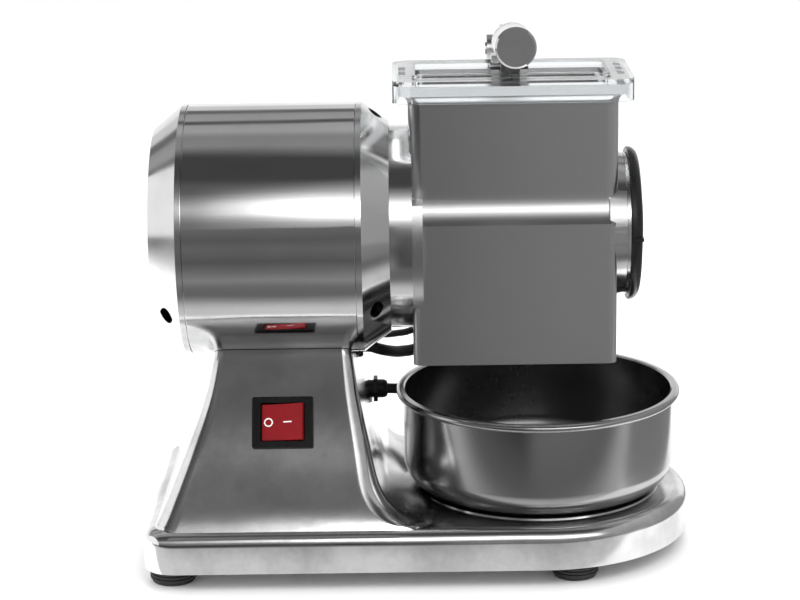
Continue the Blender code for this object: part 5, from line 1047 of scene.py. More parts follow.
def flat_block(name, low, high, left, right, half, corner, surface=None):
    return loft(name, [shell_ring(low, left, right, half, corner),
                       shell_ring(high, left, right, half, corner)], surface)


def build_guard(surface):
    bottom = GUARD_TOP - GUARD_HEIGHT
    ceiling = FLANGE_TOP + GAP
    guard = flat_block("clear_guard", bottom, GUARD_TOP, GUARD_LEFT_X, GUARD_RIGHT_X,
                       GUARD_HALF_DEPTH, GUARD_CORNER, surface)
    lip = MOUTH_LIP_WIDTH
    join(guard, flat_block("lip", GUARD_TOP - BURY, GUARD_TOP + MOUTH_LIP, MOUTH_LEFT_X - lip,
                           MOUTH_RIGHT_X + lip, MOUTH_HALF_DEPTH + lip, MOUTH_CORNER + lip))
    cut(guard, flat_block("inside", bottom - OVERRUN, ceiling, GUARD_LEFT_X + GUARD_WALL,
                          GUARD_RIGHT_X - GUARD_WALL, GUARD_HALF_DEPTH - GUARD_WALL,
                          GUARD_CORNER - GUARD_WALL))
    cut(guard, flat_block("mouth", bottom - OVERRUN, GUARD_TOP + OVERRUN, MOUTH_LEFT_X,
                          MOUTH_RIGHT_X, MOUTH_HALF_DEPTH, MOUTH_CORNER))
    return guard


def build_end_cover(surface):
    inside = DRUM_BORE_RADIUS - GAP
    outer = END_RING_RIGHT_X + GAP
    back = KNOB_RIM_X - GAP
    pocket = BUSH_RADIUS + GAP
    floor = JOURNAL_RIGHT_X + RUNNING_GAP
    thin = inside - HOUSING_WALL
    return on_axis("cover_plate", (
        (COVER_SPIGOT_LEFT_X, inside), (outer, inside), (outer, END_RING_TIP_RADIUS),
        (back, END_RING_TIP_RADIUS), (back, STUD_RADIUS), (back + STUD_LENGTH, STUD_RADIUS),
        (back + STUD_LENGTH, 0), (floor, 0), (floor, pocket), (COVER_SPIGOT_LEFT_X, pocket),
        (COVER_SPIGOT_LEFT_X, pocket + HOUSING_WALL), (floor, pocket + HOUSING_WALL),
        (floor, thin), (COVER_SPIGOT_LEFT_X, thin)),
        ROUND_LARGE, surface)


def build_knob(surface):
    """Domed disc that locks the end cover, with a nub on its rim as a pointer."""
    socket = STUD_RADIUS + GAP
    depth = KNOB_RIM_X + STUD_LENGTH + GAP
    side = KNOB_FACE_X - KNOB_EDGE_ROUND - (KNOB_FACE_X - KNOB_RIM_X) / 4
    profile = [(KNOB_RIM_X, socket), (KNOB_RIM_X, KNOB_RADIUS - KNOB_NUB / 4),
               (KNOB_RIM_X + KNOB_NUB / 4, KNOB_RADIUS)]
    profile += [(side + KNOB_EDGE_ROUND * out, KNOB_RADIUS - KNOB_EDGE_ROUND * (1 - up))
                for up, out in arc((0, 0), 1, 0, KNOB_ROUND_DEGREES, CORNER_STEPS)]
    profile += [(KNOB_FACE_X - GAP, KNOB_RADIUS / 2), (KNOB_FACE_X, 0), (depth, 0),
                (depth, socket)]
    knob = on_axis("knob_disc", profile, ROUND_LARGE, surface)
    nub = box("nub", (KNOB_RIM_X + GAP, -KNOB_RADIUS - KNOB_NUB / 2, AXIS_Z - KNOB_NUB / 2),
              (KNOB_FACE_X - KNOB_NUB, KNOB_EDGE_ROUND - KNOB_RADIUS, AXIS_Z + KNOB_NUB / 2))
    join(knob, nub)
    return knob


def grip_way():
    slope = math.radians(GRIP_DEGREES)
    return Vector((0, -math.cos(slope), math.sin(slope)))


def grip_spot(back):
    """Point on the grip's axis, at a distance behind its front face."""
    front = Vector((LEVER_X, GRIP_FRONT_Y, AXIS_Z + GRIP_FRONT_Z))
    return front - grip_way() * back


def along_grip(name, profile, count, surface=None):
    """Turn a profile of (distance behind the front face, radius) about the grip's axis."""
    made = turned(name, profile, "Y", (LEVER_X, GRIP_FRONT_Y, AXIS_Z + GRIP_FRONT_Z), count,
                  surface)
    tilt(made, -GRIP_DEGREES, "X", (LEVER_X, GRIP_FRONT_Y, AXIS_Z + GRIP_FRONT_Z))
    return made


def build_lever(arm_surface, grip_surface):
    rear = grip_spot(GRIP_LENGTH + GAP) - Vector((LEVER_X, 0, AXIS_Z))
    across = grip_way().cross(Vector((1, 0, 0))) * (GRIP_RADIUS / 2)
    upper = rear + across
    lower = rear - across
    stem_bottom = PRESSER_PIN_Z - LUG_HALF_DEPTH * 3 / 5
    lift = FLANGE_TOP + GUARD_WALL * 2 + MOUTH_LIP
    outline = [
        (HINGE_Y, HINGE_Z + EAR_RADIUS), (0, upper.z), (upper.y, upper.z),
        (lower.y, lower.z), (-MOUTH_HALF_DEPTH * 3 / 5, lift),
        (-LUG_HALF_DEPTH, stem_bottom), (LUG_HALF_DEPTH, stem_bottom),
        (LUG_HALF_DEPTH * 3 / 2, lift), (HINGE_Y, HINGE_Z)]
    left = LEVER_X - ARM_THICKNESS / 2
    right = LEVER_X + ARM_THICKNESS / 2
    arm = prism("lever_bar", outline, left, right, "X", arm_surface, (0, 0, AXIS_Z))
    join(arm, rod("hinge_boss", EAR_RADIUS - GAP, left, right, "X",
                  (0, HINGE_Y, AXIS_Z + HINGE_Z), ROUND_MEDIUM))
    join(arm, along_grip("stud", (
        (GRIP_LENGTH - GRIP_BORE_DEPTH + GAP, 0),
        (GRIP_LENGTH - GRIP_BORE_DEPTH + GAP, STUD_ROD_RADIUS),
        (GRIP_LENGTH + GRIP_RADIUS, STUD_ROD_RADIUS), (GRIP_LENGTH + GRIP_RADIUS, 0)),
        ROUND_SMALL))
    cut(arm, rod("pin_hole", PIN_RADIUS + GAP, left - OVERRUN, right + OVERRUN, "X",
                 (0, HINGE_Y, AXIS_Z + HINGE_Z), ROUND_SMALL))
    cut(arm, rod("presser_pin_hole", PRESSER_PIN_RADIUS + GAP, left - OVERRUN, right + OVERRUN,
                 "X", (0, 0, AXIS_Z + PRESSER_PIN_Z), ROUND_SMALL))
    chamfer = GRIP_CHAMFER
    groove = chamfer / 2
    profile = [(0, 0), (0, GRIP_FACE_RADIUS), (chamfer, GRIP_RADIUS)]
    for i in range(3):
        start = GRIP_LENGTH * 3 / 4 + i * 4 * groove
        profile += [(start, GRIP_RADIUS), (start + groove, GRIP_RADIUS - groove),
                    (start + 2 * groove, GRIP_RADIUS)]
    profile += [(GRIP_LENGTH - chamfer, GRIP_RADIUS), (GRIP_LENGTH, GRIP_FACE_RADIUS),
                (GRIP_LENGTH, STUD_ROD_RADIUS + GAP),
                (GRIP_LENGTH - GRIP_BORE_DEPTH, STUD_ROD_RADIUS + GAP),
                (GRIP_LENGTH - GRIP_BORE_DEPTH, 0)]
    grip = along_grip("steel_grip", profile, ROUND_MEDIUM, grip_surface)
    return arm, grip


def presser_outline(inset):
    """Side view of the presser: arcs about the hinge in front and below, the drum's arc between."""
    hinge = Vector((HINGE_Y, HINGE_Z))
    front = HINGE_Y + MOUTH_HALF_DEPTH - PRESSER_FRONT_GAP - inset
    reach = hinge.length - DRUM_RADIUS - DRUM_CLEARANCE - inset
    drum = DRUM_RADIUS + DRUM_CLEARANCE + inset
    back = HOPPER_HALF_DEPTH - HOUSING_WALL - PRESSER_BACK_GAP - inset
    mouth_back = math.hypot(HINGE_Y - MOUTH_HALF_DEPTH, HINGE_Z - GUARD_TOP + GUARD_HEIGHT)
    upper = mouth_back + PRESSER_FRONT_GAP + inset
    top = PRESSER_TOP + (OVERRUN if inset else 0)
    # Where the front arc meets the drum's arc, by the triangle of hinge, axis and meeting point
    far = hinge.length
    base = math.atan2(-hinge.y, -hinge.x)
    spread = math.acos((far * far + front * front - drum * drum) / (2 * far * front))
    start = math.atan2(top - HINGE_Z, -math.sqrt(front * front - (top - HINGE_Z) ** 2))
    meet = base - spread
    points = arc((HINGE_Y, HINGE_Z), front, math.degrees(start) - (360 if start > 0 else 0),
                 math.degrees(meet), 2 * CORNER_STEPS)
    joint = Vector(points[-1])
    points += arc((0, 0), drum, math.degrees(math.atan2(joint.y, joint.x)),
                  math.degrees(math.atan2(hinge.y, hinge.x)), CORNER_STEPS)[1:]
    drop = math.sqrt(reach * reach - (HINGE_Y - back) ** 2)
    points += arc((HINGE_Y, HINGE_Z), reach, math.degrees(base),
                  math.degrees(math.atan2(-drop, back - HINGE_Y)), CORNER_STEPS)[1:]
    rise = math.sqrt(upper * upper - (HINGE_Y - back) ** 2)
    end = math.atan2(top - HINGE_Z, -math.sqrt(upper * upper - (top - HINGE_Z) ** 2))
    points += arc((HINGE_Y, HINGE_Z), upper, math.degrees(math.atan2(-rise, back - HINGE_Y)),
                  math.degrees(end) - (360 if end > 0 else 0), CORNER_STEPS)
    return points


def build_presser(surface):
    left = MOUTH_LEFT_X + PRESSER_SIDE_GAP
    right = MOUTH_RIGHT_X - PRESSER_SIDE_GAP
    presser = prism("pusher", presser_outline(0), left, right, "X", surface, (0, 0, AXIS_Z))
    cut(presser, prism("pan", presser_outline(PRESSER_WALL), left + PRESSER_WALL,
                       right - PRESSER_WALL, "X", shift=(0, 0, AXIS_Z)))
    floor = AXIS_Z + DRUM_RADIUS + DRUM_CLEARANCE + BURY
    for side in (-1, 1):
        inner = LEVER_X + side * (ARM_THICKNESS / 2 + GAP)
        outer = inner + side * LUG_THICKNESS
        join(presser, box("lug", (min(inner, outer), -LUG_HALF_DEPTH / 5, floor),
                          (max(inner, outer), LUG_HALF_DEPTH, AXIS_Z + LUG_TOP)))
    cut(presser, rod("pin_hole", PRESSER_PIN_RADIUS + GAP, left, right, "X",
                     (0, 0, AXIS_Z + PRESSER_PIN_Z), ROUND_SMALL))
    return presser


def build_bowl(surface, painted_shade_inner_surface):
    """Spun bowl with a round lower corner and a rolled bead at the rim; its inner wall and floor take
    a darker steel, which is painted shade inside the bowl.
    """
    inner = BOWL_RADIUS - BOWL_WALL
    corner = (BOWL_RADIUS - BOWL_CORNER, BOWL_BOTTOM + BOWL_CORNER)
    bead = (BOWL_RIM_RADIUS - BOWL_BEAD, BOWL_TOP - BOWL_BEAD)
    outside = [(0, BOWL_BOTTOM)] + arc(corner, BOWL_CORNER, -90, 0, 2 * CORNER_STEPS)
    outside += [(BOWL_RADIUS, bead[1] - BOWL_BEAD)]
    outside += arc(bead, BOWL_BEAD, -90, 90, CORNER_STEPS)
    outside += [(inner + BOWL_WALL, BOWL_TOP), (inner, BOWL_TOP - BOWL_WALL)]
    inside = arc(corner, BOWL_CORNER - BOWL_WALL, 0, -90, 2 * CORNER_STEPS)
    profile = [(height, radius) for radius, height in outside + inside]
    profile.append((BOWL_BOTTOM + BOWL_WALL, 0))
    bowl = turned("steel_bowl", profile, "Z", (BOWL_X, 0, 0), ROUND_LARGE, surface)
    # The inner wall and floor get the darker steel: painted shade inside the bowl
    bowl.data.materials.append(painted_shade_inner_surface)
    for face in bowl.data.polygons:
        out = (face.center - Vector((BOWL_X, 0, 0))).xy
        inward = face.normal.xy.dot(out) < 0 or face.normal.z > 1 / 2
        if inward and face.center.z < BOWL_TOP - BOWL_BEAD:
            face.material_index = 1
    return bowl


def smooth_route(route, step=ROUTE_STEP / 2):
    """Evenly read points from a smooth curve through a route's own points."""
    fine = smooth_rows(route, ROUTE_READINGS)
    lengths = [0.0]
    for first, second in zip(fine, fine[1:]):
        lengths.append(lengths[-1] + (second - first).length)
    count = max(2, round(lengths[-1] / step))
    points = []
    for i in range(count + 1):
        want = lengths[-1] * i / count
        points.append(fine[next((n for n, far in enumerate(lengths) if far >= want), -1)])
    return points


def coil_path():
    """Two layers: the spiral runs in below, climbs in half a turn and runs out above."""
    steps = COIL_POINTS
    total = round(2 * COIL_TURNS * steps)
    points = []
    for i in range(total + 1):
        turn = i / steps
        inward = min(turn, 2 * COIL_TURNS - turn)
        radius = COIL_OUTER - COIL_PITCH * inward
        climb = min(1, max(0, 2 * (turn - COIL_TURNS) + 1 / 2))
        height = COIL_HEIGHT + LAYER_STEP * (1 - math.cos(math.pi * climb)) / 2
        angle = math.pi - math.tau * turn
        points.append(Vector((COIL_X + radius * math.cos(angle),
                              COIL_Y + radius * math.sin(angle), height)))
    start = points[0] - Vector((0, 2 * CORD_RADIUS, 0))
    stop = points[-1] - Vector((0, 2 * CORD_RADIUS, 0))
    return [start] + points + [stop]


def lead_route(shares, y, below, aside):
    """From a grommet in the column round the chute to the safety switch's underside."""
    side = column_side(below)[1]
    start = Vector((side + GROMMET_LENGTH / 2, y, AXIS_Z - below))
    end = Vector((SAFETY_X + aside, HOPPER_HALF_DEPTH + GAP + SAFETY_DEPTH / 2,
                  AXIS_Z + SAFETY_BOTTOM - GAP))
    route = [start - Vector((GROMMET_LENGTH, 0, 0)), start,
             start + Vector((GROMMET_LENGTH / 2, 0, 0)), start + Vector((GROMMET_LENGTH, 0, 0))]
    for along, out, up in shares:
        route.append(Vector((start.x + (end.x - start.x) * along, CHUTE_HALF_DEPTH * out,
                             start.z + (end.z - start.z) * up)))
    route.append(end - Vector((0, 0, 2 * LEAD_THICK_RADIUS)))
    route.append(end)
    return route


def build_plug(surface):
    """Straight two-pin plug lying on the counter."""
    start = TAIL_ROUTE[-1][0] - GAP
    centre = (0, TAIL_ROUTE[-1][1], TAIL_ROUTE[-1][2])
    body = start - PLUG_SLEEVE_LENGTH
    front = body - PLUG_LENGTH
    plug = turned("mains_plug", (
        (start, 0), (start, PLUG_SLEEVE_RADIUS - BURY), (body, PLUG_SLEEVE_RADIUS),
        (body - PLUG_LENGTH / 4, PLUG_RADIUS * 4 / 5), (front + PLUG_LENGTH / 3, PLUG_RADIUS),
        (front, PLUG_RADIUS), (front, 0)), "X", centre, ROUND_MEDIUM, surface)
    for side in (-1, 1):
        y = centre[1] + side * PLUG_PIN_SPACING / 2
        join(plug, rod("pin", PLUG_PIN_RADIUS, front - PLUG_PIN_LENGTH, front + BURY, "X",
                       (0, y, centre[2]), ROUND_SMALL))
    return plug


def build_tie(surface):
    """Flat strap round the bundle of loops, at the coil's far side."""
    near = COIL_OUTER + CORD_RADIUS + TIE_GAP
    far = COIL_OUTER - COIL_PITCH * COIL_TURNS - CORD_RADIUS - TIE_GAP - TIE_THICKNESS
    low = COIL_HEIGHT - CORD_RADIUS - TIE_GAP
    high = COIL_HEIGHT + LAYER_STEP + CORD_RADIUS + TIE_GAP
    wall = TIE_THICKNESS
    outer = rounded_rectangle(COIL_Y + far - wall, COIL_Y + near + wall, low - wall, high + wall,
                              CORD_RADIUS, 3)
    inner = rounded_rectangle(COIL_Y + far, COIL_Y + near, low, high, CORD_RADIUS - wall, 3)
    left = COIL_X - TIE_WIDTH / 2
    right = COIL_X + TIE_WIDTH / 2
    tie = prism("cord_tie", outer, left, right, "X", surface)
    cut(tie, prism("inside", inner, left - OVERRUN, right + OVERRUN, "X"))
    return tie


# Materials

def add_node(tree, kind, place_at=(0, 0), **inputs):
    """New shader node whose inputs are set by name, from values or from other sockets."""
    made = tree.nodes.new(kind)
    made.location = place_at
    for key, value in inputs.items():
        socket = made.inputs[int(key[1:])] if key[0] == "i" and key[1:].isdigit() else \
            made.inputs[key.replace("_", " ")]
        if isinstance(value, bpy.types.NodeSocket):
            tree.links.new(value, socket)
        else:
            socket.default_value = value
    return made


def maths(tree, operation, first, second=0.0):
    made = add_node(tree, "ShaderNodeMath", i0=first, i1=second)
    made.operation = operation
    return made.outputs[0]


def ranged(tree, value, low, high, to_low, to_high):
    made = add_node(tree, "ShaderNodeMapRange", Value=value)
    for name, bound in (("From Min", low), ("From Max", high), ("To Min", to_low),
                        ("To Max", to_high)):
        socket = made.inputs[name]
        if isinstance(bound, bpy.types.NodeSocket):
            tree.links.new(bound, socket)
        else:
            socket.default_value = bound
    return made.outputs["Result"]


def new_group(name, inputs, outputs):
    """Empty shader group with named float or vector inputs and outputs."""
    group = bpy.data.node_groups.new(name, "ShaderNodeTree")
    for title, kind, value in inputs:
        socket = group.interface.new_socket(title, in_out="INPUT", socket_type=kind)
        socket.default_value = value
    for title, kind in outputs:
        group.interface.new_socket(title, in_out="OUTPUT", socket_type=kind)
    start = group.nodes.new("NodeGroupInput")
    end = group.nodes.new("NodeGroupOutput")
    return group, start, end


def stretched_noise(tree, stretch, scale, detail, roughness):
    coordinates = add_node(tree, "ShaderNodeTexCoord")
    mapped = add_node(tree, "ShaderNodeMapping", Vector=coordinates.outputs["Object"],
                      Scale=stretch)
    return add_node(tree, "ShaderNodeTexNoise", Vector=mapped.outputs["Vector"], Scale=scale,
                    Detail=detail, Roughness=roughness).outputs["Fac"]


def brushing_group():
    """Fine lines drawn out along one axis, as left by a polishing or brushing wheel."""
    group, start, end = new_group(
        "brushed_lines", (("Stretch", "NodeSocketVector", EVEN),
                          ("Scale", "NodeSocketFloat", 400.0)),
        (("Lines", "NodeSocketFloat"), ("Height", "NodeSocketFloat")))
    fine = stretched_noise(group, start.outputs["Stretch"], start.outputs["Scale"], *FINE_LINES)
    wide = maths(group, "MULTIPLY", start.outputs["Scale"], BROAD_LINES_SHARE)
    broad = stretched_noise(group, start.outputs["Stretch"], wide, *BROAD_LINES)
    mixed = maths(group, "MULTIPLY_ADD", fine, LINES_MIX[0])
    group.links.new(maths(group, "MULTIPLY", broad, LINES_MIX[1]), mixed.node.inputs[2])
    group.links.new(mixed, end.inputs["Lines"])
    group.links.new(mixed, end.inputs["Height"])
    return group


def smudge_group():
    """Slow changes of gloss over a handled surface, between two roughness values."""
    group, start, end = new_group(
        "handling_smudges", (("Scale", "NodeSocketFloat", 18.0),
                             ("Clean", "NodeSocketFloat", 0.1),
                             ("Dull", "NodeSocketFloat", 0.2)),
        (("Roughness", "NodeSocketFloat"), ("Mask", "NodeSocketFloat")))
    cloud = stretched_noise(group, EVEN, start.outputs["Scale"], *SMUDGE_NOISE)
    mask = ranged(group, cloud, *SMUDGE_EDGES, 0.0, 1.0)
    rough = ranged(group, mask, 0.0, 1.0, start.outputs["Clean"], start.outputs["Dull"])
    group.links.new(rough, end.inputs["Roughness"])
    group.links.new(mask, end.inputs["Mask"])
    return group


def ripple_group():
    """Shallow waves of a hand-polished casting or a rolled sheet, as a height in metres."""
    group, start, end = new_group(
        "polished_ripple", (("Stretch", "NodeSocketVector", EVEN),
                            ("Scale", "NodeSocketFloat", 30.0),
                            ("Depth", "NodeSocketFloat", 0.0002)),
        (("Height", "NodeSocketFloat"),))
    slow = stretched_noise(group, start.outputs["Stretch"], start.outputs["Scale"], *RIPPLE_NOISE)
    group.links.new(maths(group, "MULTIPLY", slow, start.outputs["Depth"]),
                    end.inputs["Height"])
    return group


def specks_group():
    """Small pits and dust specks."""
    group, start, end = new_group(
        "fine_specks", (("Scale", "NodeSocketFloat", 900.0), ("Share", "NodeSocketFloat", 0.1)),
        (("Mask", "NodeSocketFloat"),))
    cloud = stretched_noise(group, EVEN, start.outputs["Scale"], *SPECKS_NOISE)
    edge = maths(group, "SUBTRACT", SPECKS_EDGES[0], start.outputs["Share"])
    group.links.new(ranged(group, cloud, edge, SPECKS_EDGES[1], 0.0, 1.0), end.inputs["Mask"])
    return group


GROUPS = {"lines": brushing_group(), "smudges": smudge_group(), "ripple": ripple_group(),
          "specks": specks_group()}


def use_group(tree, name, **inputs):
    made = tree.nodes.new("ShaderNodeGroup")
    made.node_tree = GROUPS[name]
    for key, value in inputs.items():
        made.inputs[key].default_value = value
    return made


def new_material(name, **inputs):
    made = bpy.data.materials.new(name)
    made.use_nodes = True
    shader = made.node_tree.nodes["Principled BSDF"]
    for key, value in inputs.items():
        shader.inputs[key.replace("_", " ")].default_value = value
    return made, made.node_tree, shader


def smudge(tree, shader, scale, clean, dull):
    """Smudged gloss on a shader; gives the mask of the smudges."""
    made = use_group(tree, "smudges", Scale=scale, Clean=clean, Dull=dull)
    tree.links.new(made.outputs["Roughness"], shader.inputs["Roughness"])
    return made.outputs["Mask"]


def tint_between(tree, shader, mask, first, second):
    """Base colour that moves between two colours with a mask."""
    mix = add_node(tree, "ShaderNodeMix")
    mix.data_type = "RGBA"
    tree.links.new(mask, mix.inputs[0])
    mix.inputs[6].default_value = (*first, 1.0)
    mix.inputs[7].default_value = (*second, 1.0)
    tree.links.new(mix.outputs[2], shader.inputs["Base Color"])


def bump(tree, shader, height, distance, strength=1.0, under=None):
    made = add_node(tree, "ShaderNodeBump", Height=height, Distance=distance, Strength=strength)
    if under is not None:
        tree.links.new(under.outputs["Normal"], made.inputs["Normal"])
    tree.links.new(made.outputs["Normal"], shader.inputs["Normal"])
    return made


def metal(name, bright, dim, clean, dull, smudge_scale, ripple, ripple_scale, ripple_stretch,
          line_scale, line_stretch, line_depth):
    """Metal with smudges in its gloss, shallow ripples and brushed lines."""
    made, tree, shader = new_material(name, Metallic=1.0)
    mask = smudge(tree, shader, smudge_scale, clean, dull)
    tint_between(tree, shader, mask, (bright,) * 3, (dim,) * 3)
    wave = use_group(tree, "ripple", Stretch=ripple_stretch, Scale=ripple_scale, Depth=ripple)
    under = bump(tree, shader, wave.outputs["Height"], 1.0)
    lines = use_group(tree, "lines", Stretch=line_stretch, Scale=line_scale)
    bump(tree, shader, lines.outputs["Height"], line_depth, 1.0, under)
    return made


def moulded(name, first, second, clean, dull, grain, grain_depth, shine):
    """Moulded plastic, rubber or paint with a fine grain and slight dust."""
    made, tree, shader = new_material(name, Specular_IOR_Level=shine)
    tint_between(tree, shader, smudge(tree, shader, MOULDED_SMUDGE_SCALE, clean, dull), first,
                 second)
    specks = use_group(tree, "specks", Scale=grain, Share=MOULDED_GRAIN_SHARE)
    bump(tree, shader, specks.outputs["Mask"], grain_depth, MOULDED_GRAIN_STRENGTH)
    return made


def clear_guard_material(name, clean, dull):
    made, tree, shader = new_material(name, Base_Color=CLEAR_COLOUR, Transmission_Weight=1.0,
                                      IOR=CLEAR_BENDING)
    smudge(tree, shader, CLEAR_SMUDGE_SCALE, clean, dull)
    return made


def tinted_metal(name, first, second, clean, dull, lines):
    made, tree, shader = new_material(name, Metallic=1.0)
    tint_between(tree, shader, smudge(tree, shader, DRAWN_SMUDGE_SCALE, clean, dull), first, second)
    drawn = use_group(tree, "lines", Stretch=DRAWN_STRETCH, Scale=lines)
    bump(tree, shader, drawn.outputs["Height"], DRAWN_DEPTH, DRAWN_STRENGTH)
    return made


def make_materials():
    looks = {}
    for make, plans in ((metal, METALS), (moulded, MOULDINGS), (clear_guard_material, CLEARS),
                        (tinted_metal, TINTED_METALS)):
        for look, plan in plans.items():
            looks[look] = make(*plan)
    return looks


# Pieces with more shape than their CAD nodes

def build_feet(surface):
    """Rubber feet with three grooves round the side."""
    bore = SCREW_RADIUS + GAP
    top = cover_bottom() - GAP
    sole = FOOT_RADIUS - FOOT_SOLE_DRAFT
    shoulder = top * 3 / 5
    profile = [(0, sole)]
    grooves = 3
    for i in range(grooves):
        low = top / 6 + (shoulder - top / 6) * i / grooves
        high = top / 6 + (shoulder - top / 6) * (i + 1) / grooves
        profile += [(low, FOOT_RADIUS - BURY / 5), (low + (high - low) / 6, FOOT_RADIUS),
                    (high - (high - low) / 3, FOOT_RADIUS),
                    (high - (high - low) / 6, FOOT_RADIUS - BURY)]
    profile += [(shoulder, FOOT_RADIUS - BURY / 2), (top, FOOT_RADIUS - FOOT_TOP_DRAFT),
                (top, bore), (FOOT_RECESS_DEPTH, bore), (FOOT_RECESS_DEPTH, FOOT_RECESS_RADIUS),
                (0, FOOT_RECESS_RADIUS)]
    return {name: turned("ribbed_foot_" + name, profile, "Z", (x, y, 0), ROUND_MEDIUM, surface)
            for name, (x, y) in foot_places()}


def build_drum(surface):
    """Thin drum with rows of raised grating teeth, wound in a slight helix."""
    inner = DRUM_RADIUS - DRUM_WALL
    drum = on_axis("toothed_drum", (
        (DRUM_LEFT_X, DRUM_RADIUS), (DRUM_RIGHT_X, DRUM_RADIUS), (DRUM_RIGHT_X, inner),
        (DRUM_LEFT_X, inner)), ROUND_LARGE, surface)
    bm = bmesh.new()
    bm.from_mesh(drum.data)
    length = DRUM_RIGHT_X - DRUM_LEFT_X - 4 * TOOTH_WIDTH
    for row in range(TOOTH_ROWS):
        for column in range(TOOTH_COLUMNS):
            along = DRUM_LEFT_X + 2 * TOOTH_WIDTH + length * (column + (row % 2) / 2) / TOOTH_COLUMNS
            angle = math.tau * (row / TOOTH_ROWS + column * TOOTH_TWIST_SHARE / TOOTH_COLUMNS)
            spots = []
            for u, v, out in ((-1, -1, -1), (1, -1, -1), (0, 1, -1), (0, TOOTH_LEAN, 1)):
                radius = DRUM_RADIUS + (TOOTH_HEIGHT if out > 0 else -DRUM_WALL / 4)
                turn = angle + v * TOOTH_WIDTH / DRUM_RADIUS
                spots.append(bm.verts.new((along + u * TOOTH_WIDTH, radius * math.cos(turn),
                                           AXIS_Z + radius * math.sin(turn))))
            for corners in ((0, 2, 1), (0, 1, 3), (1, 2, 3), (2, 0, 3)):
                bm.faces.new([spots[i] for i in corners])
    bmesh.ops.recalc_face_normals(bm, faces=bm.faces)
    bm.to_mesh(drum.data)
    bm.free()
    drum.data.set_sharp_from_angle(angle=SMOOTH_ANGLE)
    return drum


def build_gland(surface):
    """Cord gland with a flat hexagon nut and a slim rounded end."""
    right = column_side(GLAND_BELOW_AXIS)[1]
    lean = column_side(GLAND_BELOW_AXIS + GLAND_HEX_RADIUS)[1]
    seat = max(right, lean) + GAP
    centre = (0, GLAND_Y, AXIS_Z - GLAND_BELOW_AXIS)
    bore = CORD_RADIUS + GAP
    start = seat + GLAND_HEX_LENGTH * GLAND_NUT_SHARE
    end = seat + GLAND_LENGTH * GLAND_REACH_SHARE
    inside = right - CAST_WALL - GLAND_HEX_LENGTH
    thread = GLAND_THREAD_RADIUS - GAP
    dome = bore + (GLAND_DOME_RADIUS - bore) * GLAND_DOME_SHARE
    profile = [(inside, bore), (inside, thread), (start, thread), (start, dome)]
    middle = (start + end) / 2
    profile += [(middle + (end - middle) * out, bore + (dome - bore) * up)
                for up, out in arc((0, 0), 1, 0, GLAND_ROUND_DEGREES, CORNER_STEPS)]
    profile.append((end, bore))
    gland = turned("cord_gland", profile, "X", centre, ROUND_MEDIUM, surface)
    join(gland, rod("nut", GLAND_HEX_RADIUS, seat, start, "X", centre, HEX_SIDES))
    cut(gland, rod("bore", bore, inside - OVERRUN, end + OVERRUN, "X", centre, ROUND_MEDIUM))
    return gland


def build_grommets(surface):
    made = {}
    for name, y, below, radius in (
            ("lead_grommet_thick", GROMMET_Y, GROMMET_BELOW_AXIS, LEAD_THICK_RADIUS),
            ("lead_grommet_thin", THIN_GROMMET_Y, THIN_GROMMET_BELOW_AXIS, LEAD_THIN_RADIUS)):
        side = max(column_side(below)[1], column_side(below + radius + GROMMET_WALL)[1]) + GAP
        tip = side + GROMMET_LENGTH / 2
        outer = radius + GROMMET_WALL
        made[name] = turned("round_" + name, (
            (side - GROMMET_LENGTH, radius + GAP), (side - GROMMET_LENGTH, outer),
            (side, outer), (side, outer + GROMMET_WALL),
            (side + GROMMET_LENGTH / 4, outer + GROMMET_WALL),
            (tip, outer + GROMMET_WALL / 2), (tip, radius + GAP)), "X",
            (0, y, AXIS_Z - below), ROUND_SMALL, surface)
    return made


def build_safety_switch(surface, screw_surface):
    """Interlock box behind the hopper with two cover screws."""
    near = HOPPER_HALF_DEPTH + GAP
    far = near + SAFETY_DEPTH
    half = SAFETY_WIDTH / 2
    body = box("interlock_box", (SAFETY_X - half, near, AXIS_Z + SAFETY_BOTTOM),
               (SAFETY_X + half, far - BURY, AXIS_Z + SAFETY_TOP), surface)
    join(body, box("lid", (SAFETY_X - half + BURY, near + BURY, AXIS_Z + SAFETY_BOTTOM + BURY),
                   (SAFETY_X + half - BURY, far, AXIS_Z + SAFETY_TOP - BURY)))
    soften(body, BURY / 2)
    inset = 3 * COVER_SCREW_RADIUS
    screws = [turned("cover_screw_" + name, (
        (far - BURY, 0), (far - BURY, COVER_SCREW_RADIUS), (far - GAP, COVER_SCREW_RADIUS),
        (far, COVER_SCREW_RADIUS - GAP), (far, COVER_SCREW_RADIUS / 3),
        (far - GAP, COVER_SCREW_RADIUS / 4), (far - GAP, 0)), "Y",
        (SAFETY_X, 0, AXIS_Z + height), ROUND_SMALL, screw_surface)
        for name, height in (("upper", SAFETY_TOP - inset), ("lower", SAFETY_BOTTOM + inset))]
    return body, screws


def build_pads(surface):
    """Small raised pads on the guard's top, two on the left and three on the right."""
    pads = []
    top = AXIS_Z + GUARD_TOP
    middle_left = (GUARD_LEFT_X + MOUTH_LEFT_X - MOUTH_LIP_WIDTH) / 2
    middle_right = (GUARD_RIGHT_X + MOUTH_RIGHT_X + MOUTH_LIP_WIDTH) / 2
    for side, x, count in (("left", middle_left, 2), ("right", middle_right, 3)):
        for i in range(count):
            y = PAD_PITCH * (i - (count - 1) / 2)
            pads.append(box("guard_pad_%s_%d" % (side, i), (x - PAD_LENGTH / 2, y - PAD_DEPTH / 2,
                                                            top - PAD_RISE),
                            (x + PAD_LENGTH / 2, y + PAD_DEPTH / 2, top + PAD_RISE), surface))
    return pads


def on_rocker(across, up, out):
    """Point over the rocker's face, given across, up and out before it leans."""
    spot = Matrix.Rotation(math.radians(ROCKER_DEGREES), 2) @ Vector((across, out))
    return slanted((spot.x, up, GAP + BEZEL_THICKNESS / 2 + spot.y))


def rocker_face(across):
    share = 2 * across / ROCKER_WIDTH
    return ROCKER_PROUD * (1 + share * share) / 2


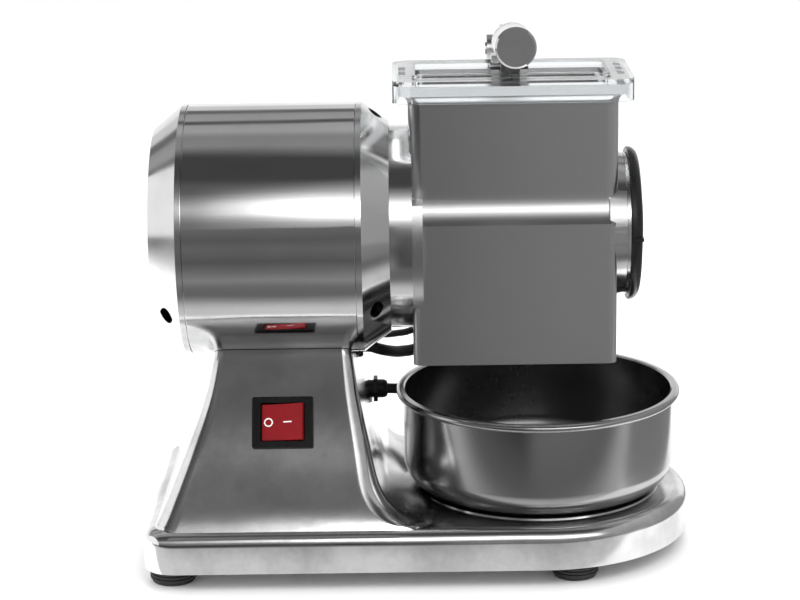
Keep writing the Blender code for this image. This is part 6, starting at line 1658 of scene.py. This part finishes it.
def build_rocker(surface):
    """Rocker with a hollow face between its two raised ends, and rounded rims."""
    half = ROCKER_WIDTH / 2
    rim = ROCKER_RIM
    levels = [(-ROCKER_HEIGHT / 2, rim), (-ROCKER_HEIGHT / 2 + rim * 3 / 10, rim * 3 / 10),
              (-ROCKER_HEIGHT / 2 + rim, 0), (ROCKER_HEIGHT / 2 - rim, 0),
              (ROCKER_HEIGHT / 2 - rim * 3 / 10, rim * 3 / 10), (ROCKER_HEIGHT / 2, rim)]
    steps = 2 * CORNER_STEPS
    rings = []
    for up, lower in levels:
        side = [(-half, -ROCKER_SKIRT), (half, -ROCKER_SKIRT), (half, rocker_face(half) - rim - lower),
                (half - rim * 3 / 10, rocker_face(half) - rim * 3 / 10 - lower)]
        for i in range(steps + 1):
            across = (half - rim) * (1 - 2 * i / steps)
            side.append((across, rocker_face(across) - lower))
        side += [(rim * 3 / 10 - half, rocker_face(half) - rim * 3 / 10 - lower),
                 (-half, rocker_face(half) - rim - lower)]
        rings.append([on_rocker(across, up, out) for across, out in side])
    return loft("red_rocker", rings, surface)


def build_marks(surface):
    """Off ring and on bar, printed on the rocker's face."""
    bm = bmesh.new()
    rows = []
    for radius in (MARK_RADIUS - MARK_WIDTH, MARK_RADIUS):
        for out in (-MARK_WIDTH / 4, MARK_PROUD):
            row = []
            for i in range(ROUND_MEDIUM):
                angle = math.tau * i / ROUND_MEDIUM
                across = MARK_OFF_X + radius * math.cos(angle)
                row.append(bm.verts.new(on_rocker(across, radius * math.sin(angle),
                                                  rocker_face(across) + out)))
            rows.append(row)
    for a, b in ((rows[0], rows[1]), (rows[1], rows[3]), (rows[3], rows[2]), (rows[2], rows[0])):
        for i in range(ROUND_MEDIUM):
            j = (i + 1) % ROUND_MEDIUM
            bm.faces.new((a[i], a[j], b[j], b[i]))
    off = finish("off_mark", bm, surface)
    rings = []
    for out in (-MARK_WIDTH / 4, MARK_PROUD):
        outline = rounded_rectangle(MARK_ON_X - MARK_BAR / 2, MARK_ON_X + MARK_BAR / 2,
                                    -MARK_WIDTH / 2, MARK_WIDTH / 2, MARK_WIDTH / 3)
        rings.append([on_rocker(u, v, rocker_face(u) + out) for u, v in outline])
    return off, loft("on_mark", rings, surface)


def build_switch_frame(surface):
    """Bezel with a rounded front edge and a well for the rocker."""
    width, height, edge = BEZEL_WIDTH, BEZEL_HEIGHT, BEZEL_CORNER / 2
    steps = CORNER_STEPS // 2
    levels = [(0, GAP)]
    for i in range(steps + 1):
        angle = math.pi / 2 * i / steps
        levels.append((edge * (1 - math.cos(angle)),
                       BEZEL_THICKNESS - edge * (1 - math.sin(angle)) + GAP))
    rings = []
    for inset, out in levels:
        outline = rounded_rectangle(inset - width / 2, width / 2 - inset, inset - height / 2,
                                    height / 2 - inset, BEZEL_CORNER - inset * BEZEL_EASE_SHARE,
                                    steps)
        rings.append([slanted((u, v, out)) for u, v in outline])
    body = loft("switch_frame", rings, surface)
    join(body, slanted_prism("barrel", switch_outline(
        WINDOW_WIDTH + 2 * SWITCH_WALL, WINDOW_HEIGHT + 2 * SWITCH_WALL, BEZEL_CORNER),
        -SWITCH_DEPTH, GAP + BURY))
    cut(body, slanted_prism("well", switch_outline(WINDOW_WIDTH, WINDOW_HEIGHT, BEZEL_CORNER / 2),
                            -WELL_DEPTH, BEZEL_THICKNESS + OVERRUN))
    return body


def tube(name, points, radius, surface):
    """Round tube along points, as a smooth poly curve with filled caps."""
    curve = bpy.data.curves.new(name, "CURVE")
    curve.dimensions = "3D"
    curve.bevel_depth = radius
    curve.bevel_resolution = CORD_FACETS
    curve.use_fill_caps = True
    spline = curve.splines.new("POLY")
    spline.points.add(len(points) - 1)
    for point, spot in zip(spline.points, points):
        point.co = (*spot, 1.0)
    curve.materials.append(surface)
    return link(name, curve)


def soften(item, width):
    """Round an item's hard edges a little."""
    bevel = item.modifiers.new("soft_edges", "BEVEL")
    bevel.width = width
    bevel.segments = SOFT_EDGE_STEPS
    bevel.limit_method = "ANGLE"
    bevel.angle_limit = math.radians(SOFT_EDGE_DEGREES)
    bevel.use_clamp_overlap = True
    return item


def dress(item, body, slot, *nodes):
    """Hand a piece to its body and hide the CAD nodes that it stands for; the slot argument is not
    used.
    """
    if item.type == "MESH":
        even = item.modifiers.new("even_normals", "WEIGHTED_NORMAL")
        even.keep_sharp = True
    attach(item, body)
    if nodes:
        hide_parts(*nodes)
    return item


# Camera, floor and light

def aim_camera():
    """Camera of the reference view: its place, its turn and its focal length for 800 pixels."""
    pitch, yaw, roll = (math.radians(x) for x in CAMERA_DEGREES)
    ahead = Vector((math.sin(yaw) * math.cos(pitch), math.cos(yaw) * math.cos(pitch),
                    -math.sin(pitch)))
    right = Vector((math.cos(yaw), -math.sin(yaw), 0))
    above = right.cross(ahead)
    turned_right = right * math.cos(roll) + above * math.sin(roll)
    turned_above = above * math.cos(roll) - right * math.sin(roll)
    data = bpy.data.cameras.new("camera")
    data.sensor_width = SENSOR_WIDTH
    data.lens = CAMERA_FOCAL_PIXELS / PHOTO_WIDTH * SENSOR_WIDTH
    data.clip_start, data.clip_end = CAMERA_CLIP
    camera = link("camera", data)
    rows = [[turned_right[i], turned_above[i], -ahead[i], CAMERA_PLACE[i]] for i in range(3)]
    camera.matrix_world = Matrix(rows + [[0, 0, 0, 1]])
    bpy.context.scene.camera = camera


def ramp(tree, value, bands):
    """Brightness that runs straight between stops of (degrees, brightness)."""
    low, high = bands[0][0], bands[-1][0]
    made = add_node(tree, "ShaderNodeValToRGB", Fac=ranged(tree, value, low, high, 0.0, 1.0))
    stops = made.color_ramp.elements
    while len(stops) < len(bands):
        stops.new(0.5)
    for stop, (degrees, shade) in zip(stops, bands):
        stop.position = (degrees - low) / (high - low)
        stop.color = (shade, shade, shade, 1.0)
    return made.outputs["Color"]


def glow_tree(name):
    """Empty material with its tree and the parts of the object's coordinates."""
    made = bpy.data.materials.new(name)
    made.use_nodes = True
    tree = made.node_tree
    tree.nodes.remove(tree.nodes["Principled BSDF"])
    coordinates = add_node(tree, "ShaderNodeTexCoord")
    parts = add_node(tree, "ShaderNodeSeparateXYZ", Vector=coordinates.outputs["Object"])
    return made, tree, parts.outputs


def glow(tree, **inputs):
    shine = add_node(tree, "ShaderNodeEmission", **inputs)
    tree.links.new(shine.outputs[0], tree.nodes["Material Output"].inputs["Surface"])


def surroundings_material():
    """Brightness of the room by its height in degrees over the motor axis, more on the right."""
    made, tree, parts = glow_tree("surroundings")
    ahead = maths(tree, "SUBTRACT", -TUBE_RADIUS, parts["Y"])
    above = maths(tree, "SUBTRACT", parts["Z"], AXIS_Z)
    degrees = maths(tree, "DEGREES", maths(tree, "ARCTAN2", above, ahead))
    plain = ramp(tree, degrees, ROOM_BANDS)
    bright_share = ranged(tree, parts["X"], *GLOW_START, 0.0, 1.0)
    bright = maths(tree, "MULTIPLY", maths(tree, "MULTIPLY", bright_share, GLOW_GAIN),
                   ramp(tree, degrees, GLOW_BANDS))
    grey_share = ranged(tree, parts["X"], *GREY_START, 0.0, 1.0)
    grey = maths(tree, "MULTIPLY", grey_share, ramp(tree, degrees, GREY_BANDS))
    glow(tree, Strength=maths(tree, "ADD", maths(tree, "MAXIMUM", plain, grey), bright))
    return made


def sheet(name, spots, faces, surface):
    mesh = bpy.data.meshes.new(name)
    mesh.from_pydata(spots, [], faces)
    mesh.materials.append(surface)
    return link(name, mesh)


def build_surroundings():
    """Vaulted screen and floor strip that only reflections see."""
    rows = [(ROOM_FLOOR_START, ROOM_FLOOR_HEIGHT),
            (-ROOM_RADIUS / 2, ROOM_FLOOR_HEIGHT), (-ROOM_RADIUS, ROOM_FLOOR_HEIGHT)]
    for i in range(1, ROOM_STEPS + 1):
        angle = math.radians(ROOM_TOP_DEGREES) * i / ROOM_STEPS
        rows.append((-ROOM_RADIUS * math.cos(angle), ROOM_RADIUS * math.sin(angle)))
    spots = [(x, y, z) for y, z in rows for x in (-ROOM_HALF, ROOM_HALF)]
    faces = [(2 * k - 2, 2 * k - 1, 2 * k + 1, 2 * k) for k in range(1, len(rows))]
    reflect_only(sheet("surroundings", spots, faces, surroundings_material()))


def build_floor():
    half = FLOOR_HALF
    made, _, _ = new_material("floor_white", Base_Color=FLOOR_COLOUR, Roughness=FLOOR_ROUGHNESS)
    sheet("floor", [(-half, -half, 0), (half, -half, 0), (half, half, 0),
                             (-half, half, 0)], [(0, 1, 2, 3)], made)


def area_light(name, place_at, target, width, height, power):
    data = bpy.data.lights.new(name, "AREA")
    data.shape = "RECTANGLE"
    data.size = width
    data.size_y = height
    data.energy = power
    lamp = link(name, data)
    lamp.location = place_at
    way = Vector(target) - Vector(place_at)
    lamp.rotation_euler = way.to_track_quat("-Z", "Y").to_euler()
    lamp.visible_camera = False
    lamp.visible_glossy = False


def light_world():
    """Plain white room for the camera, for reflections and for the fill light."""
    world = bpy.data.worlds.new("studio")
    bpy.context.scene.world = world
    world.use_nodes = True
    background = world.node_tree.nodes["Background"]
    background.inputs["Color"].default_value = (1.0, 1.0, 1.0, 1.0)
    background.inputs["Strength"].default_value = 1.0


def card(name, spots, bands):
    """Card seen in reflections only; its brightness runs between stops of (height, brightness)."""
    made, tree, parts = glow_tree(name)
    glow(tree, Color=ramp(tree, parts["Z"], bands))
    reflect_only(sheet(name, spots, [(0, 1, 2, 3)], made))


def upright_card(name, first, second, bands):
    """Card over the line between two points of the plan."""
    low, high = bands[0][0], bands[-1][0]
    card(name, [(*first, low), (*second, low), (*second, high), (*first, high)], bands)


def flat_card(name, corners, bands):
    """Card lying on the floor between two corners of the plan."""
    (left, near), (right, far) = corners
    card(name, [(x, y, ROOM_FLOOR_HEIGHT)
                for x, y in ((left, near), (right, near), (right, far), (left, far))], bands)


def reflect_only(item):
    item.visible_camera = False
    item.visible_diffuse = False
    item.visible_shadow = False
    item.visible_transmission = False


def build_studio():
    bpy.context.scene.view_settings.view_transform = "Standard"
    build_floor()
    light_world()
    build_surroundings()
    left, right = REFLECTOR_SIDES
    upright_card("column_reflector", (left, REFLECTOR_Y), (right, REFLECTOR_Y), REFLECTOR_BANDS)
    upright_card("right_screen", *RIGHT_SCREEN, SCREEN_BANDS)
    flat_card("right_floor", RIGHT_FLOOR, RIGHT_FLOOR_BANDS)
    for lamp in LAMPS:
        area_light(*lamp)


def build_mains(surface):
    """The mains lead from the gland through its coil to the plug, as one cord."""
    points = smooth_route(LEAD_ROUTE) + coil_path() + smooth_route(TAIL_ROUTE)
    flex = dress(tube("mains_flex", points, CORD_RADIUS, surface), "frame", "rubber",
                 "mains_lead", "mains_coil", "mains_tail")


def build_switch_leads(surface):
    for name, node, shares, y, below, aside, radius in (
            ("thick_switch_lead", "switch_lead_thick", THICK_LEAD_SHARES, GROMMET_Y,
             GROMMET_BELOW_AXIS, -LEAD_SPACING, LEAD_THICK_RADIUS),
            ("thin_switch_lead", "switch_lead_thin", THIN_LEAD_SHARES, THIN_GROMMET_Y,
             THIN_GROMMET_BELOW_AXIS, LEAD_SPACING, LEAD_THIN_RADIUS)):
        points = smooth_route(lead_route(shares, y, below, aside))
        dress(tube(name, points, radius, surface), "frame", "black_plastic", node)


def paint_nodes(looks):
    """Material of each CAD node that stays in view."""
    plans = {
        "steel": ("base_cover", "bearing_front", "bearing_rear", "motor_shaft", "drum_nut",
                  "foot_screw_front_left", "foot_screw_back_left", "foot_screw_front_right",
                  "foot_screw_back_right", "neck_screw_upper", "neck_screw_lower", "lever_pin",
                  "presser_pin", "capacitor"),
        "core": ("stator_core", "rotor_core"),
        "copper": ("winding_front", "winding_rear"),
        "cast": ("drum_hub_inner", "drum_hub_outer"),
        "black": ("fan",),
        "rubber": ("shaft_seal",),
        "brass": ("cover_bush",),
        "cream": ("terminal_block",),
    }
    for look, nodes in plans.items():
        for name in nodes:
            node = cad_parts[name]
            node.data.materials.clear()
            node.data.materials.append(looks[look])


def main():
    aim_camera()
    looks = make_materials()
    build_switch_leads(looks["cord"])
    paint_nodes(looks)
    dress(build_base(looks["cast"]), "frame", "cast_aluminium", "base_casting")
    for name, foot in build_feet(looks["rubber"]).items():
        dress(foot, "frame", "rubber", "foot_" + name)
    for cap, node in zip(build_caps(looks["cap"]), ("front_cap", "rear_cap", "rear_disc")):
        dress(cap, "frame", "cast_aluminium", node)
    dress(build_shell(looks["tube"]), "frame", "polished_steel", "motor_shell")
    dress(build_housing(looks["satin"], looks["cap"]), "frame", "cast_aluminium", "grater_housing")
    dress(build_guard(looks["clear"]), "frame", "clear_plastic", "hopper_guard")
    flex_parts = (dress(build_plug(looks["black"]), "frame", "black_plastic", "plug"),
                  dress(soften(build_tie(looks["black"]), BURY / 5), "frame", "black_plastic",
                        "coil_tie"))
    build_mains(looks["cord"])
    dress(build_drum(looks["steel"]), "spindle", "steel", "grating_drum")
    dress(build_end_cover(looks["cap"]), "end_cover_body", "cast_aluminium", "end_cover")
    dress(build_knob(looks["knob"]), "knob", "black_plastic", "cover_knob")
    arm, grip = build_lever(looks["arm"], looks["grip"])
    dress(soften(arm, ARM_SOFTENING), "lever", "cast_aluminium", "lever_arm")
    dress(grip, "lever", "polished_steel", "grip")
    dress(soften(build_presser(looks["arm"]), PRESSER_SOFTENING), "lever", "cast_aluminium",
          "presser")
    dress(build_bowl(looks["bowl"], looks["bowl_inside_painted_shade"]), "bowl_body", "steel", "bowl")
    dress(build_switch_frame(looks["black"]), "frame", "black_plastic", "switch_body")
    dress(build_rocker(looks["red"]), "rocker_body", "red_plastic", "rocker")
    for mark in build_marks(looks["mark"]):
        dress(mark, "rocker_body", "red_plastic")
    dress(build_gland(looks["black"]), "frame", "black_plastic", "cable_gland")
    for name, grommet in build_grommets(looks["rubber"]).items():
        dress(grommet, "frame", "black_plastic", name)
    interlock, screws = build_safety_switch(looks["black"], looks["steel"])
    dress(interlock, "frame", "black_plastic", "safety_switch")
    for screw in screws:
        dress(screw, "frame", "steel")
    for pad in build_pads(looks["frost"]):
        dress(pad, "frame", "clear_plastic")
    build_studio()


main()
